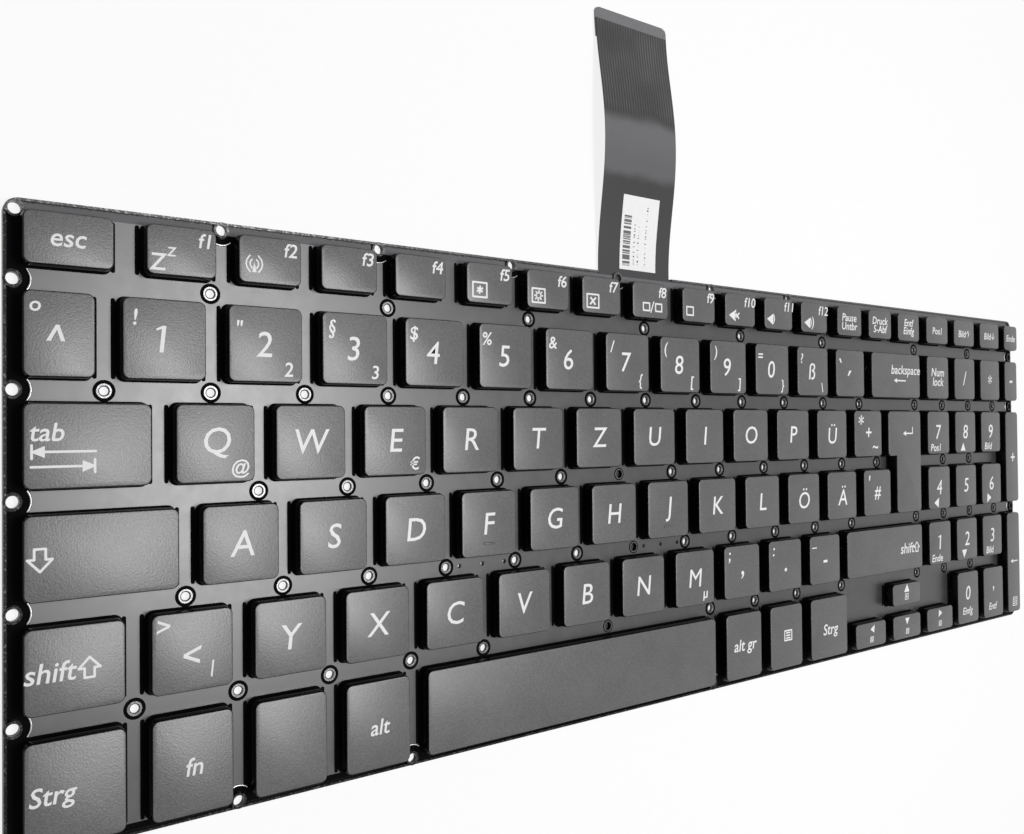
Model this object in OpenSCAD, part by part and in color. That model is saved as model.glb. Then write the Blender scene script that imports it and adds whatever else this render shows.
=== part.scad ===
// Frameless laptop keyboard, German letter layout with number pad.
// Sheet stack, key caps, scissor frames, domes, stabiliser wires and flat cable.
// Units are mm. +Z is up out of the keys, +Y is towards the rear edge.
// The origin is the middle of the underside.

/* [Key grid] */
// Gap between caps, side to side
gap_x = 4.0; // [3.8:0.1:4.4]
// Gap between caps, row to row
gap_y = 4.1; // [3.8:0.1:4.4]

/* [Key caps] */
// Height of a cap, skirt to top
cap_h = 1.8; // [1.6:0.1:2.4]
// Corner radius of a cap seen from above
cap_r = 1.3; // [0.8:0.1:1.8]
// Slope of the skirt, each side
cap_draft = 0.15; // [0.05:0.05:0.3]
// Bevel round the top face
cap_bevel = 0.25; // [0.1:0.05:0.4]
// Skirt wall thickness
cap_wall = 0.8; // [0.6:0.1:1.0]
// Thickness of a cap's top
cap_roof = 0.7; // [0.5:0.1:0.9]
// Key travel, full stroke
travel = 1.6; // [1.2:0.1:1.6]
// Height of the homing bars on F and J
homing_h = 0.25; // [0.15:0.05:0.4]

/* [Base plate] */
// Plate width, side to side; the key columns keep their share of it
plate_w = 343.0; // [320:0.5:370]
// Plate depth, front to rear; the key rows keep their share of it
plate_d = 111.0; // [105:0.5:120]
// Room from the plate's left edge to the first caps
room_left = 2.368; // [2.2:0.05:2.6]
// Room from the plate's right edge to the last caps
room_right = 0.95; // [0.9:0.05:1.2]
// Room from the plate's rear edge to the function row
room_rear = 2.158; // [2:0.05:2.4]
// Room from the plate's front edge to the bottom row
room_front = 2.0204; // [1.9:0.05:2.2]
// Plate thickness
plate_t = 0.5; // [0.4:0.05:0.8]
// Corner radius of the plate
plate_r = 2.5; // [1.5:0.5:4]
// Height of the folded edge above the plate
lip_h = 0.8; // [0.6:0.1:1.0]
// Thickness of the folded edge
lip_t = 0.45; // [0.3:0.05:0.6]
// Diameter of the post holes
post_d = 2.1; // [1.8:0.1:2.2]
// Wall of the collar round each post hole
collar_t = 0.25; // [0.2:0.05:0.3]
// Wall of the heavier collars along the plate's edges
edge_collar_t = 0.45; // [0.35:0.05:0.5]

/* [Sheets] */
// Thickness of the backing film
film_t = 0.1; // [0.05:0.01:0.15]
// Radius of the bay in the cover sheet round each edge post
bay_r = 2.8; // [2.8:0.1:3.2]
// Room in the backing film round each post hole, on the diameter
film_room = 0.9; // [0.8:0.05:1.1]
// Thickness of each membrane layer
layer_t = 0.1; // [0.08:0.01:0.12]
// Thickness of the cover sheet between the keys
sheet_t = 0.2; // [0.15:0.05:0.3]
// Room between a cap's outline and its opening in the cover sheet
opening_room = 0.3; // [0.2:0.05:0.35]

/* [Scissor frames] */
// Half length of the outer frame, rod to pivot
arm_a = 5.4; // [5.2:0.1:5.6]
// Half length of the inner frame, rod to pivot
arm_b = 4.5; // [4.4:0.1:4.6]
// Radius of the frame end rods
rod_r = 0.35; // [0.3:0.05:0.4]
// Radius of the middle pivot pins
pin_r = 0.22; // [0.2:0.01:0.25]
// Running clearance in the hinges
hinge_gap = 0.05; // [0.03:0.01:0.08]
// Height of the plate hinge above the membrane
hinge_rise = 0.5; // [0.48:0.01:0.55]

/* [Domes and wires] */
// Foot radius of a rubber dome
dome_r = 3.2; // [2.8:0.1:3.3]
// Wire diameter of the stabilisers
wire_d = 0.6; // [0.5:0.1:0.7]

/* [Flat cable] */
// Width of the flat cable
cable_w = 25.0; // [23:0.5:28]
// Thickness of the flat cable
cable_t = 0.2; // [0.15:0.05:0.3]
// Plan length of the free cable behind the rear edge
cable_len = 67.0; // [60:1:80]
// Height of the cable's arch
arch_h = 3.2; // [1:0.2:6]
// Length of the label on the cable
label_l = 19.0; // [12:0.5:24]
// Width of the label on the cable
label_w = 12.8; // [8:0.2:16]
// Length of the stiffened cable end
stiffener_l = 8.0; // [5:0.5:12]
// Thickness of the stiffener under the cable end
stiffener_t = 0.25; // [0.15:0.05:0.3]

/* [Hidden] */
$fn = 48;
eps = 0.01;
clear_d = min(gap_x, gap_y) - 2 * opening_room - 0.2;
edge_clear_d = post_d + 2 * edge_collar_t + 0.3;
z_plate = film_t;
z_membrane = z_plate + plate_t;
z_cover = z_membrane + 3 * layer_t;
z_top = z_cover + sheet_t;
cap_bottom = z_cover + travel + 0.1;
cap_top = cap_bottom + cap_h;
roof_z = cap_top - cap_roof;
hinge_z = z_cover + hinge_rise;
slot_z = roof_z - 0.5;
rise = slot_z - hinge_z;
bar_w = 0.8;
frame_t = 2 * rod_r;
FIRST_U = -0.828;
LAST_U = 17.05;
FIRST_V = -0.715;
LAST_V = 4.967;
pitch_x = (plate_w - room_left - room_right) / (LAST_U - FIRST_U);
pitch_y = (plate_d - room_rear - room_front) / (LAST_V - FIRST_V);
x_one = -plate_w / 2 + room_left - FIRST_U * pitch_x;
y_one = plate_d / 2 - room_rear + FIRST_V * pitch_y;
cap_unit_x = pitch_x - gap_x;
cap_unit_y = pitch_y - gap_y;
gu = gap_x / pitch_x;
gv = gap_y / pitch_y;
letter_u = 1 - gu;
letter_v = 1 - gv;
cable_u = 6.72;
cable_root = 3.2;
free_from = 1.0;
label_t = 0.1;
label_from = 0.003;
label_to = label_from + label_l / cable_len;
label_shift = 1;
tip_bare = 3;
strip_right = room_right + 0.7;
arch_steps = 30;

// Rear edge of each row and its cap depth, in row pitches
F_V = -0.715;
F_H = 0.494;
ROW_V = [0, 1, 2, 3, 4];
BOTTOM_H = 0.967;
HALF_H = 0.42;
PAD_U = [13.715, 14.653, 15.592, 16.53];
PAD_W = 0.727;
LAST_R = 17.02;

// Caps as [left, rear, width, depth] in pitches, from the left edge of key 1
F_ROW = [
    [-0.828, F_V, 0.77, F_H],
    for (k = [0:3]) [0.218 + 0.887 * k, F_V, 0.887 - gu, F_H],
    for (k = [0:3]) [3.829 + 0.887 * k, F_V, 0.887 - gu, F_H],
    for (k = [0:3]) [7.446 + 0.887 * k, F_V, 0.887 - gu, F_H],
    for (k = [0:2]) [11.055 + 0.876 * k, F_V, 0.876 - gu + 0.01, F_H],
    for (k = [0:2]) [PAD_U[k], F_V, PAD_W, F_H],
    [PAD_U[3], F_V, LAST_R - PAD_U[3] + 0.03, F_H]
];
DIGIT_ROW = [
    [-0.828, 0, 0.606, letter_v],
    for (k = [0:11]) [k, 0, letter_u, letter_v],
    [12, 0, 1.483, letter_v]
];
Q_ROW = [for (k = [0:11]) [0.485 + k, 1, letter_u, letter_v]];
A_ROW = [for (k = [0:11]) [0.735 + k, 2, letter_u, letter_v]];
Y_ROW = [for (k = [0:10]) [0.252 + k, 3, letter_u, letter_v]];
TAB = [-0.828, 1, 1.103, letter_v];
CAPS = [-0.828, 2, 1.353, letter_v];
LEFT_SHIFT = [-0.828, 3, 0.86, letter_v];
RIGHT_SHIFT = [11.24, 3, 2.243, letter_v];
ENTER_WIDE = [12.47, 1, 1.013, letter_v];
ENTER_TALL = [12.72, 1, 0.763, 1 + letter_v];
SPACE = [3.265, 4, 4.8, BOTTOM_H];
BOTTOM_ROW = [
    [-0.828, 4, 0.867, BOTTOM_H],
    [0.254, 4, letter_u, BOTTOM_H],
    [1.254, 4, letter_u, BOTTOM_H],
    [2.254, 4, letter_u, BOTTOM_H],
    [8.28, 4, letter_u, BOTTOM_H],
    [9.27, 4, 0.775, BOTTOM_H],
    [10.26, 4, 0.96, BOTTOM_H],
    [11.45, 4.547, 0.87, HALF_H],
    [12.533, 4.547, 0.86, HALF_H],
    [13.6, 4.547, 0.865, HALF_H],
    [12.533, 4, 0.86, 0.385]
];
PAD = [
    for (v = [0, 1, 2, 3]) for (k = [0:2]) [PAD_U[k], v, PAD_W, letter_v],
    [PAD_U[1], 4, PAD_W + 0.015, BOTTOM_H],
    [PAD_U[2], 4, PAD_W + 0.015, BOTTOM_H],
    [PAD_U[3], 0, LAST_R - PAD_U[3], letter_v],
    [PAD_U[3], 1, LAST_R - PAD_U[3], 1 + letter_v],
    [PAD_U[3], 3, LAST_R - PAD_U[3], 1 + BOTTOM_H]
];
SMALL_CAPS = concat(F_ROW, [DIGIT_ROW[0]], [for (k = [1:12]) DIGIT_ROW[k]], Q_ROW, A_ROW, Y_ROW,
    BOTTOM_ROW, PAD);
HELD_CAPS = [DIGIT_ROW[13], TAB, CAPS, RIGHT_SHIFT, SPACE];
ALL_CAPS = concat(SMALL_CAPS, HELD_CAPS, [LEFT_SHIFT, ENTER_TALL]);
SHOWN_KEY = Q_ROW[0];

// Post holes: row line, then the places along it, in pitches
POSTS = [
    [-0.105, [0.884, 2.884, 4.875, 6.875, 8.87, 10.88, 13.585, 15.43]],
    [0.885, [for (k = [-1:11]) k + 0.885, 13.585, 14.51, 15.44, 16.36]],
    [1.885, [for (k = [1:5]) k + 0.375, for (k = [7:12]) k + 0.375, 14.51, 15.44]],
    [2.885, [for (k = [0:5]) k + 0.63, for (k = [7:11]) k + 0.63, 13.585, 14.51, 15.44, 16.36]],
    [3.895, [0.15, 1.15, 2.15, 3.15, 4.15, 8.14, 9.13, 10.14, 11.32, 13.585, 14.5, 15.43]]
];
BLIND = [[6.375, 1.885], [6.63, 2.885], [6.15, 3.895]];
EDGE_POSTS = [-0.105, 0.885, 1.885, 2.885, 3.895];
REAR_POSTS = [0.996, 2.77, 4.61, 6.385, 8.23, 10.0];
FRONT_POSTS = [1.147, 3.155, 8.17];
DRAINS = [3.82, 4.146, 4.47, 6.82, 7.145, 7.47];
POST_POINTS = [for (row = POSTS) for (u = row[1]) [px(u), py(row[0])]];
BLIND_POINTS = [for (b = BLIND) [px(b[0]), py(b[1])]];
EDGE_IN = lip_t + post_d / 2 - 0.1;
EDGE_POINTS = [
    [-plate_w / 2 + EDGE_IN + 0.35, plate_d / 2 - EDGE_IN - 0.35],
    for (v = EDGE_POSTS) [-plate_w / 2 + EDGE_IN, py(v)],
    for (u = REAR_POSTS) [px(u), plate_d / 2 - EDGE_IN],
    for (u = FRONT_POSTS) [px(u), -plate_d / 2 + EDGE_IN],
    for (v = [-0.105, 0.885, 2.885]) [plate_w / 2 - EDGE_IN, py(v)]
];
DRAIN_POINTS = [
    for (u = DRAINS) [px(u), py(2.885)],
    for (u = [4.9, 6.48]) [px(u), -plate_d / 2 + 1.05]
];

function px(u) = x_one + pitch_x * u;
function py(v) = y_one - pitch_y * v;
function cx(k) = px(k[0] + k[2] / 2);
function cy(k) = py(k[1] + k[3] / 2);
function cw(k) = k[2] * pitch_x;
function cd(k) = k[3] * pitch_y;
// Frame size factors for caps smaller than a letter key
function frame_a(k) = min(arm_a, cw(k) / 2 - 1.7);
function frame_b(k) = frame_a(k) - arm_a + arm_b;
function frame_y(k) = min(5.6, cd(k) / 2 - cap_wall - 0.15);
function tilt_out(k) = asin(rise / (2 * frame_a(k)));
function tilt_in(k) = asin(rise / (2 * frame_b(k)));
function inner_x(k) = frame_a(k) * (cos(tilt_out(k)) - 1) - frame_b(k) * cos(tilt_in(k));
function dome_radius(k) = min(dome_r, frame_y(k) - 1.45, frame_b(k) - 0.75);
function hook_x(k) = -frame_a(k) - rod_r - hinge_gap;
function catch_x(k) = inner_x(k) + 2 * frame_b(k) * cos(tilt_in(k)) - rod_r - hinge_gap;
function hook_y(k) = max(0.5, min(2.6, frame_y(k) - 2.5));
Q_A = frame_a(SHOWN_KEY);
Q_B = frame_b(SHOWN_KEY);
Q_Y = frame_y(SHOWN_KEY);
function catch_w(k) = min(0.9, frame_y(k) - hook_y(k) - 1.5);
function catch_y(k) = hook_y(k) + 0.05 + catch_w(k) / 2;

// Rectangle with rounded corners, centred
module round_rect(w, d, r) {
    square([w - 2 * r, d], center = true);
    square([w, d - 2 * r], center = true);
    for (x = [-1, 1], y = [-1, 1]) {
        translate([x * (w / 2 - r), y * (d / 2 - r)]) circle(r);
    }
}

// Side profile of a cap: sloped skirt and bevelled top
module cap_profile(w) {
    polygon([
        [-w / 2 - cap_draft, 0],
        [w / 2 + cap_draft, 0],
        [w / 2, cap_h - cap_bevel],
        [w / 2 - cap_bevel, cap_h],
        [-w / 2 + cap_bevel, cap_h],
        [-w / 2, cap_h - cap_bevel]
    ]);
}

module cap_body(w, d) {
    intersection() {
        linear_extrude(cap_h) round_rect(w + 2 * cap_draft, d + 2 * cap_draft, cap_r);
        translate([0, d, 0]) rotate([90, 0, 0]) linear_extrude(2 * d) cap_profile(w);
        translate([-w, 0, 0]) rotate([90, 0, 90]) linear_extrude(2 * w) cap_profile(d);
    }
}

module cap_hollow(w, d) {
    translate([-w / 2 + cap_wall, -d / 2 + cap_wall, -1]) {
        cube([w - 2 * cap_wall, d - 2 * cap_wall, cap_h - cap_roof + 1]);
    }
}

// Snap clips under a cap: two on the left rod, one foot behind the right rod
module cap_clips() {
    drop = roof_z - slot_z;
    clip_x = inner_x(SHOWN_KEY);
    top = cap_h - cap_roof;
    for (y = [1.9 - Q_Y, Q_Y - 2.9]) {
        difference() {
            translate([clip_x - 0.52, y, top - drop - 0.2]) cube([1.14, 1, drop + 0.2 + eps]);
            translate([clip_x, y - 1, top - drop]) rotate([-90, 0, 0]) {
                cylinder(r = rod_r + hinge_gap, h = 3);
            }
        }
    }
    foot = drop + rod_r + hinge_gap + 0.15;
    translate([Q_A + rod_r + hinge_gap, 3.1 - Q_Y, top - foot]) cube([0.5, 2 * Q_Y - 6.2, foot + eps]);
    translate([Q_A - 0.35, 3.1 - Q_Y, top - foot]) cube([0.8, 2 * Q_Y - 6.2, 0.15]);
}

module keycap(k) {
    w = cw(k);
    d = cd(k);
    translate([cx(k), cy(k), cap_bottom]) {
        difference() {
            cap_body(w, d);
            cap_hollow(w, d);
        }
        if (k == SHOWN_KEY) {
            cap_clips();
        }
    }
}

module homing_bar(k) {
    translate([cx(k) - 1.6, cy(k) - 0.3 * cd(k), cap_top - eps]) cube([3.2, 0.5, homing_h]);
}

module letter_key(k) {
    color([0.24, 0.24, 0.25]) keycap(k);
}

// L profile hook stamped up from the plate, extruded towards +Y
module plate_hook(reach, width) {
    top = hinge_z + rod_r + hinge_gap - z_membrane;
    rotate([90, 0, 0]) translate([0, 0, -width / 2]) linear_extrude(width) polygon([
        [0, -eps],
        [0.45, -eps],
        [0.45, top],
        [0.45 + reach, top],
        [0.45 + reach, top + 0.25],
        [0, top + 0.25]
    ]);
}

// The three hooks that hold one scissor pair
module key_hooks(k) {
    translate([cx(k), cy(k), z_membrane]) {
        translate([hook_x(k) - 0.45, 0, 0]) plate_hook(0.7, 2 * hook_y(k) - 0.4);
        for (y = [-1, 1]) {
            translate([catch_x(k) - 0.45, y * catch_y(k), 0]) plate_hook(0.75, catch_w(k));
        }
    }
}

// Windows in the sheets for those hooks
module hook_windows(k) {
    translate([cx(k), cy(k)]) {
        translate([hook_x(k) - 0.7, -hook_y(k)]) square([1.1, 2 * hook_y(k)]);
        for (y = [-1, 1]) {
            translate([catch_x(k) - 0.7, y * catch_y(k) - catch_w(k) / 2 - 0.15]) {
                square([1.1, catch_w(k) + 0.3]);
            }
        }
    }
}

module points(list) {
    for (p = list) {
        translate(p) children();
    }
}

module plate_outline(inset) {
    round_rect(plate_w - 2 * inset, plate_d - 2 * inset, plate_r - inset / 2);
}

module base_plate() {
    color([0.12, 0.12, 0.13]) {
        translate([0, 0, z_plate]) linear_extrude(plate_t) difference() {
            plate_outline(0);
            points(POST_POINTS) circle(d = post_d);
            points(BLIND_POINTS) circle(d = post_d);
            points(EDGE_POINTS) circle(d = post_d);
            points(DRAIN_POINTS) circle(d = 0.8);
        }
        translate([0, 0, z_membrane - eps]) linear_extrude(lip_h + eps) difference() {
            plate_outline(0);
            plate_outline(lip_t);
            points(EDGE_POINTS) circle(d = post_d + edge_collar_t);
            translate([px(cable_u) - cable_w / 2 - 0.5, plate_d / 2 - 2]) square([cable_w + 1, 3]);
        }
        translate([0, 0, z_membrane - eps]) linear_extrude(3 * layer_t + sheet_t + 0.05 + eps) {
            points(concat(POST_POINTS, BLIND_POINTS)) difference() {
                circle(d = post_d + 2 * collar_t);
                circle(d = post_d);
            }
        }
        translate([0, 0, z_membrane - eps]) linear_extrude(lip_h + eps) {
            points(EDGE_POINTS) difference() {
                circle(d = post_d + 2 * edge_collar_t);
                circle(d = post_d);
            }
        }
        for (k = ALL_CAPS) {
            key_hooks(k);
        }
    }
}

module backing_film() {
    color([0.05, 0.05, 0.05]) linear_extrude(film_t) difference() {
        round_rect(plate_w - 1, plate_d - 1, plate_r);
        points(POST_POINTS) circle(d = post_d + film_room);
        points(EDGE_POINTS) circle(d = post_d + film_room);
        points(DRAIN_POINTS) circle(d = 1);
    }
}

module sheet_outline() {
    difference() {
        round_rect(plate_w - 2 * lip_t - 0.6, plate_d - 2 * lip_t - 0.6, plate_r);
        points(POST_POINTS) circle(d = clear_d);
        points(BLIND_POINTS) circle(d = clear_d);
        points(EDGE_POINTS) circle(d = edge_clear_d);
        points(DRAIN_POINTS) circle(d = 1);
    }
}

module membrane_layer(level) {
    translate([0, 0, z_membrane + level * layer_t]) linear_extrude(layer_t) difference() {
        sheet_outline();
        for (k = ALL_CAPS) {
            hook_windows(k);
        }
        if (level < 2) {
            root_window();
        }
        if (level == 1) {
            points([for (k = ALL_CAPS) [cx(k), cy(k)]]) circle(d = 4);
        }
    }
}

module membrane_lower() {
    color([0.55, 0.58, 0.55]) membrane_layer(0);
}

module membrane_spacer() {
    color([0.8, 0.8, 0.75]) membrane_layer(1);
}

module membrane_upper() {
    color([0.08, 0.08, 0.08]) membrane_layer(2);
}

module opening(k) {
    translate([cx(k), cy(k)]) {
        round_rect(cw(k) + 2 * opening_room, cd(k) + 2 * opening_room, cap_r + opening_room);
    }
}

// What the cover sheet leaves free: the margin outside the outer caps and a bay round each edge post
module cover_margin() {
    difference() {
        square([plate_w + 2, plate_d + 2], center = true);
        translate([(room_left - strip_right) / 2, (room_front - room_rear) / 2]) {
            round_rect(plate_w - room_left - strip_right, plate_d - room_front - room_rear, 1.8);
        }
    }
    points(EDGE_POINTS) circle(r = bay_r);
}

module cover_sheet() {
    color([0.16, 0.16, 0.17]) translate([0, 0, z_cover]) linear_extrude(sheet_t) difference() {
        sheet_outline();
        cover_margin();
        for (k = ALL_CAPS) {
            opening(k);
        }
        opening(ENTER_WIDE);
    }
}

// One dome: a foot ring, a sloped skirt and a flat button, hollow below
module dome(r, h) {
    button = 0.46 * r;
    rotate_extrude() polygon([
        [r - 0.5, 0],
        [r, 0],
        [r, 0.25],
        [r - 0.2, 0.3],
        [button + 0.1, h - 0.45],
        [button, h],
        [0, h],
        [0, h - 0.7],
        [button - 0.25, h - 0.75]
    ]);
}

module rubber_domes() {
    color([0.1, 0.1, 0.1]) for (k = ALL_CAPS) {
        translate([cx(k), cy(k), z_cover]) dome(dome_radius(k), roof_z - z_cover);
    }
}

// Frame outline seen flat, x from the hinge rod outwards
module frame_ring(reach, half_y, bar) {
    difference() {
        translate([0, -half_y]) square([reach, 2 * half_y]);
        translate([bar, -half_y + 0.6]) square([reach - 2 * bar, 2 * half_y - 1.2]);
    }
}

module plain_outer(k) {
    translate([cx(k) - frame_a(k), cy(k), hinge_z]) rotate([0, -tilt_out(k), 0]) {
        translate([-0.3, 0, -frame_t / 2 + 0.05]) linear_extrude(frame_t - 0.1) {
            frame_ring(2 * frame_a(k) + 0.6, frame_y(k), 0.6);
        }
    }
}

module plain_inner(k) {
    translate([cx(k) + inner_x(k), cy(k), slot_z]) rotate([0, tilt_in(k), 0]) {
        translate([-0.3, 0, -frame_t / 2 + 0.05]) linear_extrude(frame_t - 0.1) {
            frame_ring(2 * frame_b(k) + 0.6, frame_y(k) - 0.75, 0.6);
        }
    }
}

module scissor_outer_frames() {
    color([0.15, 0.15, 0.15]) for (k = ALL_CAPS) {
        if (k != SHOWN_KEY) {
            plain_outer(k);
        }
    }
}

module scissor_inner_frames() {
    color([0.2, 0.2, 0.2]) for (k = ALL_CAPS) {
        if (k != SHOWN_KEY) {
            plain_inner(k);
        }
    }
}

// Working outer frame of the Q key, hinged on the plate at its left rod
module key_q_outer_frame() {
    k = SHOWN_KEY;
    color([0.75, 0.75, 0.72]) translate([cx(k) - Q_A, cy(k), hinge_z]) rotate([0, -tilt_out(k), 0]) {
        difference() {
            union() {
                for (y = [-Q_Y, Q_Y - bar_w]) {
                    translate([0, y, -frame_t / 2]) cube([2 * Q_A, bar_w, frame_t]);
                }
                for (x = [0, 2 * Q_A]) {
                    translate([x, -Q_Y, 0]) rotate([-90, 0, 0]) cylinder(r = rod_r, h = 2 * Q_Y);
                }
            }
            translate([Q_A, -Q_Y - 1, 0]) rotate([-90, 0, 0]) {
                cylinder(r = pin_r + hinge_gap, h = 2 * Q_Y + 2);
            }
        }
    }
}

// Working inner frame of the Q key, hinged in the cap at its left rod
module key_q_inner_frame() {
    k = SHOWN_KEY;
    half = Q_Y - bar_w - 0.15;
    color([0.7, 0.7, 0.68]) translate([cx(k) + inner_x(k), cy(k), slot_z]) {
        rotate([0, tilt_in(k), 0]) {
            for (y = [-half, half - bar_w]) {
                translate([0, y, -frame_t / 2]) cube([2 * Q_B, bar_w, frame_t]);
            }
            for (x = [0, 2 * Q_B]) {
                translate([x, -half, 0]) rotate([-90, 0, 0]) cylinder(r = rod_r, h = 2 * half);
            }
            for (y = [0.3 - Q_Y, Q_Y - 1.3]) {
                translate([Q_B, y, 0]) rotate([-90, 0, 0]) cylinder(r = pin_r, h = 1);
            }
        }
    }
}

// Bent wire: a long rod under the cap with an arm at each end
module stabiliser(k, along_y) {
    span = (along_y ? cd(k) : cw(k)) - 3.4;
    turn = along_y ? -90 : 0;
    r = wire_d / 2;
    off = (along_y ? cw(k) : cd(k)) / 2 - cap_wall - r - 0.05;
    z_wire = roof_z - r - 0.05;
    arm = (z_wire - z_cover - r - 0.1) / cos(65);
    translate([cx(k), cy(k), z_wire]) rotate([0, 0, turn]) translate([0, off, 0]) {
        translate([-span / 2, 0, 0]) rotate([0, 90, 0]) cylinder(r = r, h = span);
        for (s = [-1, 1]) {
            translate([s * span / 2, 0, 0]) {
                sphere(r = r);
                rotate([115, 0, 0]) cylinder(r = r, h = arm);
            }
        }
    }
}

module stabiliser_wires() {
    color([0.75, 0.75, 0.78]) {
        for (k = HELD_CAPS) {
            stabiliser(k, false);
        }
        stabiliser(PAD[15], true);
        stabiliser(PAD[16], true);
        stabiliser(ENTER_TALL, true);
    }
}

// Height of the cable's underside at corner k of its low arch, which is drawn in short straights
function corner_z(k) = z_membrane - 0.1 * k / arch_steps + arch_h * (1 - cos(360 * k / arch_steps)) / 2;

// The same at any share s of the free length, so that all that lies on the cable meets it
function arch_z(s) = straight_z(floor(s * arch_steps), s * arch_steps - floor(s * arch_steps));
function straight_z(k, f) = corner_z(k) * (1 - f) + corner_z(k + 1) * f;

// Side view of a strip that follows the cable, from share s0 to share s1
module strip_profile(s0, s1, lift, thick) {
    first = ceil(s0 * arch_steps + 0.01);
    last = floor(s1 * arch_steps - 0.01);
    shares = concat([s0], [for (k = [first:last]) k / arch_steps], [s1]);
    below = [for (s = shares) strip_point(s, lift)];
    above = [for (i = [len(shares) - 1:-1:0]) strip_point(shares[i], lift + thick)];
    polygon(concat(below, above));
}

function strip_point(s, lift) = [plate_d / 2 + free_from + (cable_len - free_from) * s, arch_z(s) + lift];

module cable_slab(s0, s1, lift, thick, width, shift) {
    translate([px(cable_u) + shift - width / 2, 0, 0]) rotate([90, 0, 90]) linear_extrude(width) {
        strip_profile(s0, s1, lift, thick);
    }
}

module flat_cable() {
    color([0.3, 0.3, 0.3]) {
        cable_slab(0, 1 - tip_bare / cable_len, 0, cable_t, cable_w, 0);
        translate([0, 0, z_membrane]) linear_extrude(cable_t) difference() {
            translate([px(cable_u) - cable_w / 2, plate_d / 2 - cable_root]) {
                square([cable_w, cable_root + free_from + eps]);
            }
            points(EDGE_POINTS) circle(d = edge_clear_d);
        }
    }
}

module cable_stiffener() {
    color([0.6, 0.6, 0.62]) {
        cable_slab(1 - stiffener_l / cable_len, 1, -stiffener_t, stiffener_t, cable_w + 0.4, 0);
    }
}

module cable_label() {
    color([0.95, 0.95, 0.93]) {
        cable_slab(label_from, label_to, cable_t, label_t, label_w, label_shift);
    }
}

// Room that the cable root takes out of the two lower membrane layers
module root_window() {
    translate([px(cable_u) - cable_w / 2 - 0.3, plate_d / 2 - cable_root - 0.3]) {
        square([cable_w + 0.6, cable_root + 1]);
    }
}

// The enter cap is one L piece
module enter_cap() {
    translate([0, 0, cap_bottom]) difference() {
        union() {
            translate([cx(ENTER_WIDE), cy(ENTER_WIDE), 0]) cap_body(cw(ENTER_WIDE), cd(ENTER_WIDE));
            translate([cx(ENTER_TALL), cy(ENTER_TALL), 0]) cap_body(cw(ENTER_TALL), cd(ENTER_TALL));
        }
        translate([cx(ENTER_WIDE), cy(ENTER_WIDE), 0]) cap_hollow(cw(ENTER_WIDE), cd(ENTER_WIDE));
        translate([cx(ENTER_TALL), cy(ENTER_TALL), 0]) cap_hollow(cw(ENTER_TALL), cd(ENTER_TALL));
    }
}

module function_row_keys() {
    for (k = F_ROW) {
        letter_key(k);
    }
}

module number_row_keys() {
    for (k = DIGIT_ROW) {
        letter_key(k);
    }
}

module bottom_row_keys() {
    for (k = BOTTOM_ROW) {
        letter_key(k);
    }
}

module numpad_keys() {
    for (k = PAD) {
        letter_key(k);
    }
}

module key_q() {
    letter_key(Q_ROW[0]);
}

module key_w() {
    letter_key(Q_ROW[1]);
}

module key_e() {
    letter_key(Q_ROW[2]);
}

module key_r() {
    letter_key(Q_ROW[3]);
}

module key_t() {
    letter_key(Q_ROW[4]);
}

module key_z() {
    letter_key(Q_ROW[5]);
}

module key_u() {
    letter_key(Q_ROW[6]);
}

module key_i() {
    letter_key(Q_ROW[7]);
}

module key_o() {
    letter_key(Q_ROW[8]);
}

module key_p() {
    letter_key(Q_ROW[9]);
}

module key_u_umlaut() {
    letter_key(Q_ROW[10]);
}

module key_plus() {
    letter_key(Q_ROW[11]);
}

module key_a() {
    letter_key(A_ROW[0]);
}

module key_s() {
    letter_key(A_ROW[1]);
}

module key_d() {
    letter_key(A_ROW[2]);
}

module key_f() {
    letter_key(A_ROW[3]);
    color([0.24, 0.24, 0.25]) homing_bar(A_ROW[3]);
}

module key_g() {
    letter_key(A_ROW[4]);
}

module key_h() {
    letter_key(A_ROW[5]);
}

module key_j() {
    letter_key(A_ROW[6]);
    color([0.24, 0.24, 0.25]) homing_bar(A_ROW[6]);
}

module key_k() {
    letter_key(A_ROW[7]);
}

module key_l() {
    letter_key(A_ROW[8]);
}

module key_o_umlaut() {
    letter_key(A_ROW[9]);
}

module key_a_umlaut() {
    letter_key(A_ROW[10]);
}

module key_hash() {
    letter_key(A_ROW[11]);
}

module key_angle_bracket() {
    letter_key(Y_ROW[0]);
}

module key_y() {
    letter_key(Y_ROW[1]);
}

module key_x() {
    letter_key(Y_ROW[2]);
}

module key_c() {
    letter_key(Y_ROW[3]);
}

module key_v() {
    letter_key(Y_ROW[4]);
}

module key_b() {
    letter_key(Y_ROW[5]);
}

module key_n() {
    letter_key(Y_ROW[6]);
}

module key_m() {
    letter_key(Y_ROW[7]);
}

module key_comma() {
    letter_key(Y_ROW[8]);
}

module key_period() {
    letter_key(Y_ROW[9]);
}

module key_minus() {
    letter_key(Y_ROW[10]);
}

module key_tab() {
    letter_key(TAB);
}

module key_caps_lock() {
    letter_key(CAPS);
}

module key_left_shift() {
    letter_key(LEFT_SHIFT);
}

module key_right_shift() {
    letter_key(RIGHT_SHIFT);
}

module key_space() {
    letter_key(SPACE);
}

module key_enter() {
    color([0.24, 0.24, 0.25]) enter_cap();
}

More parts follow.
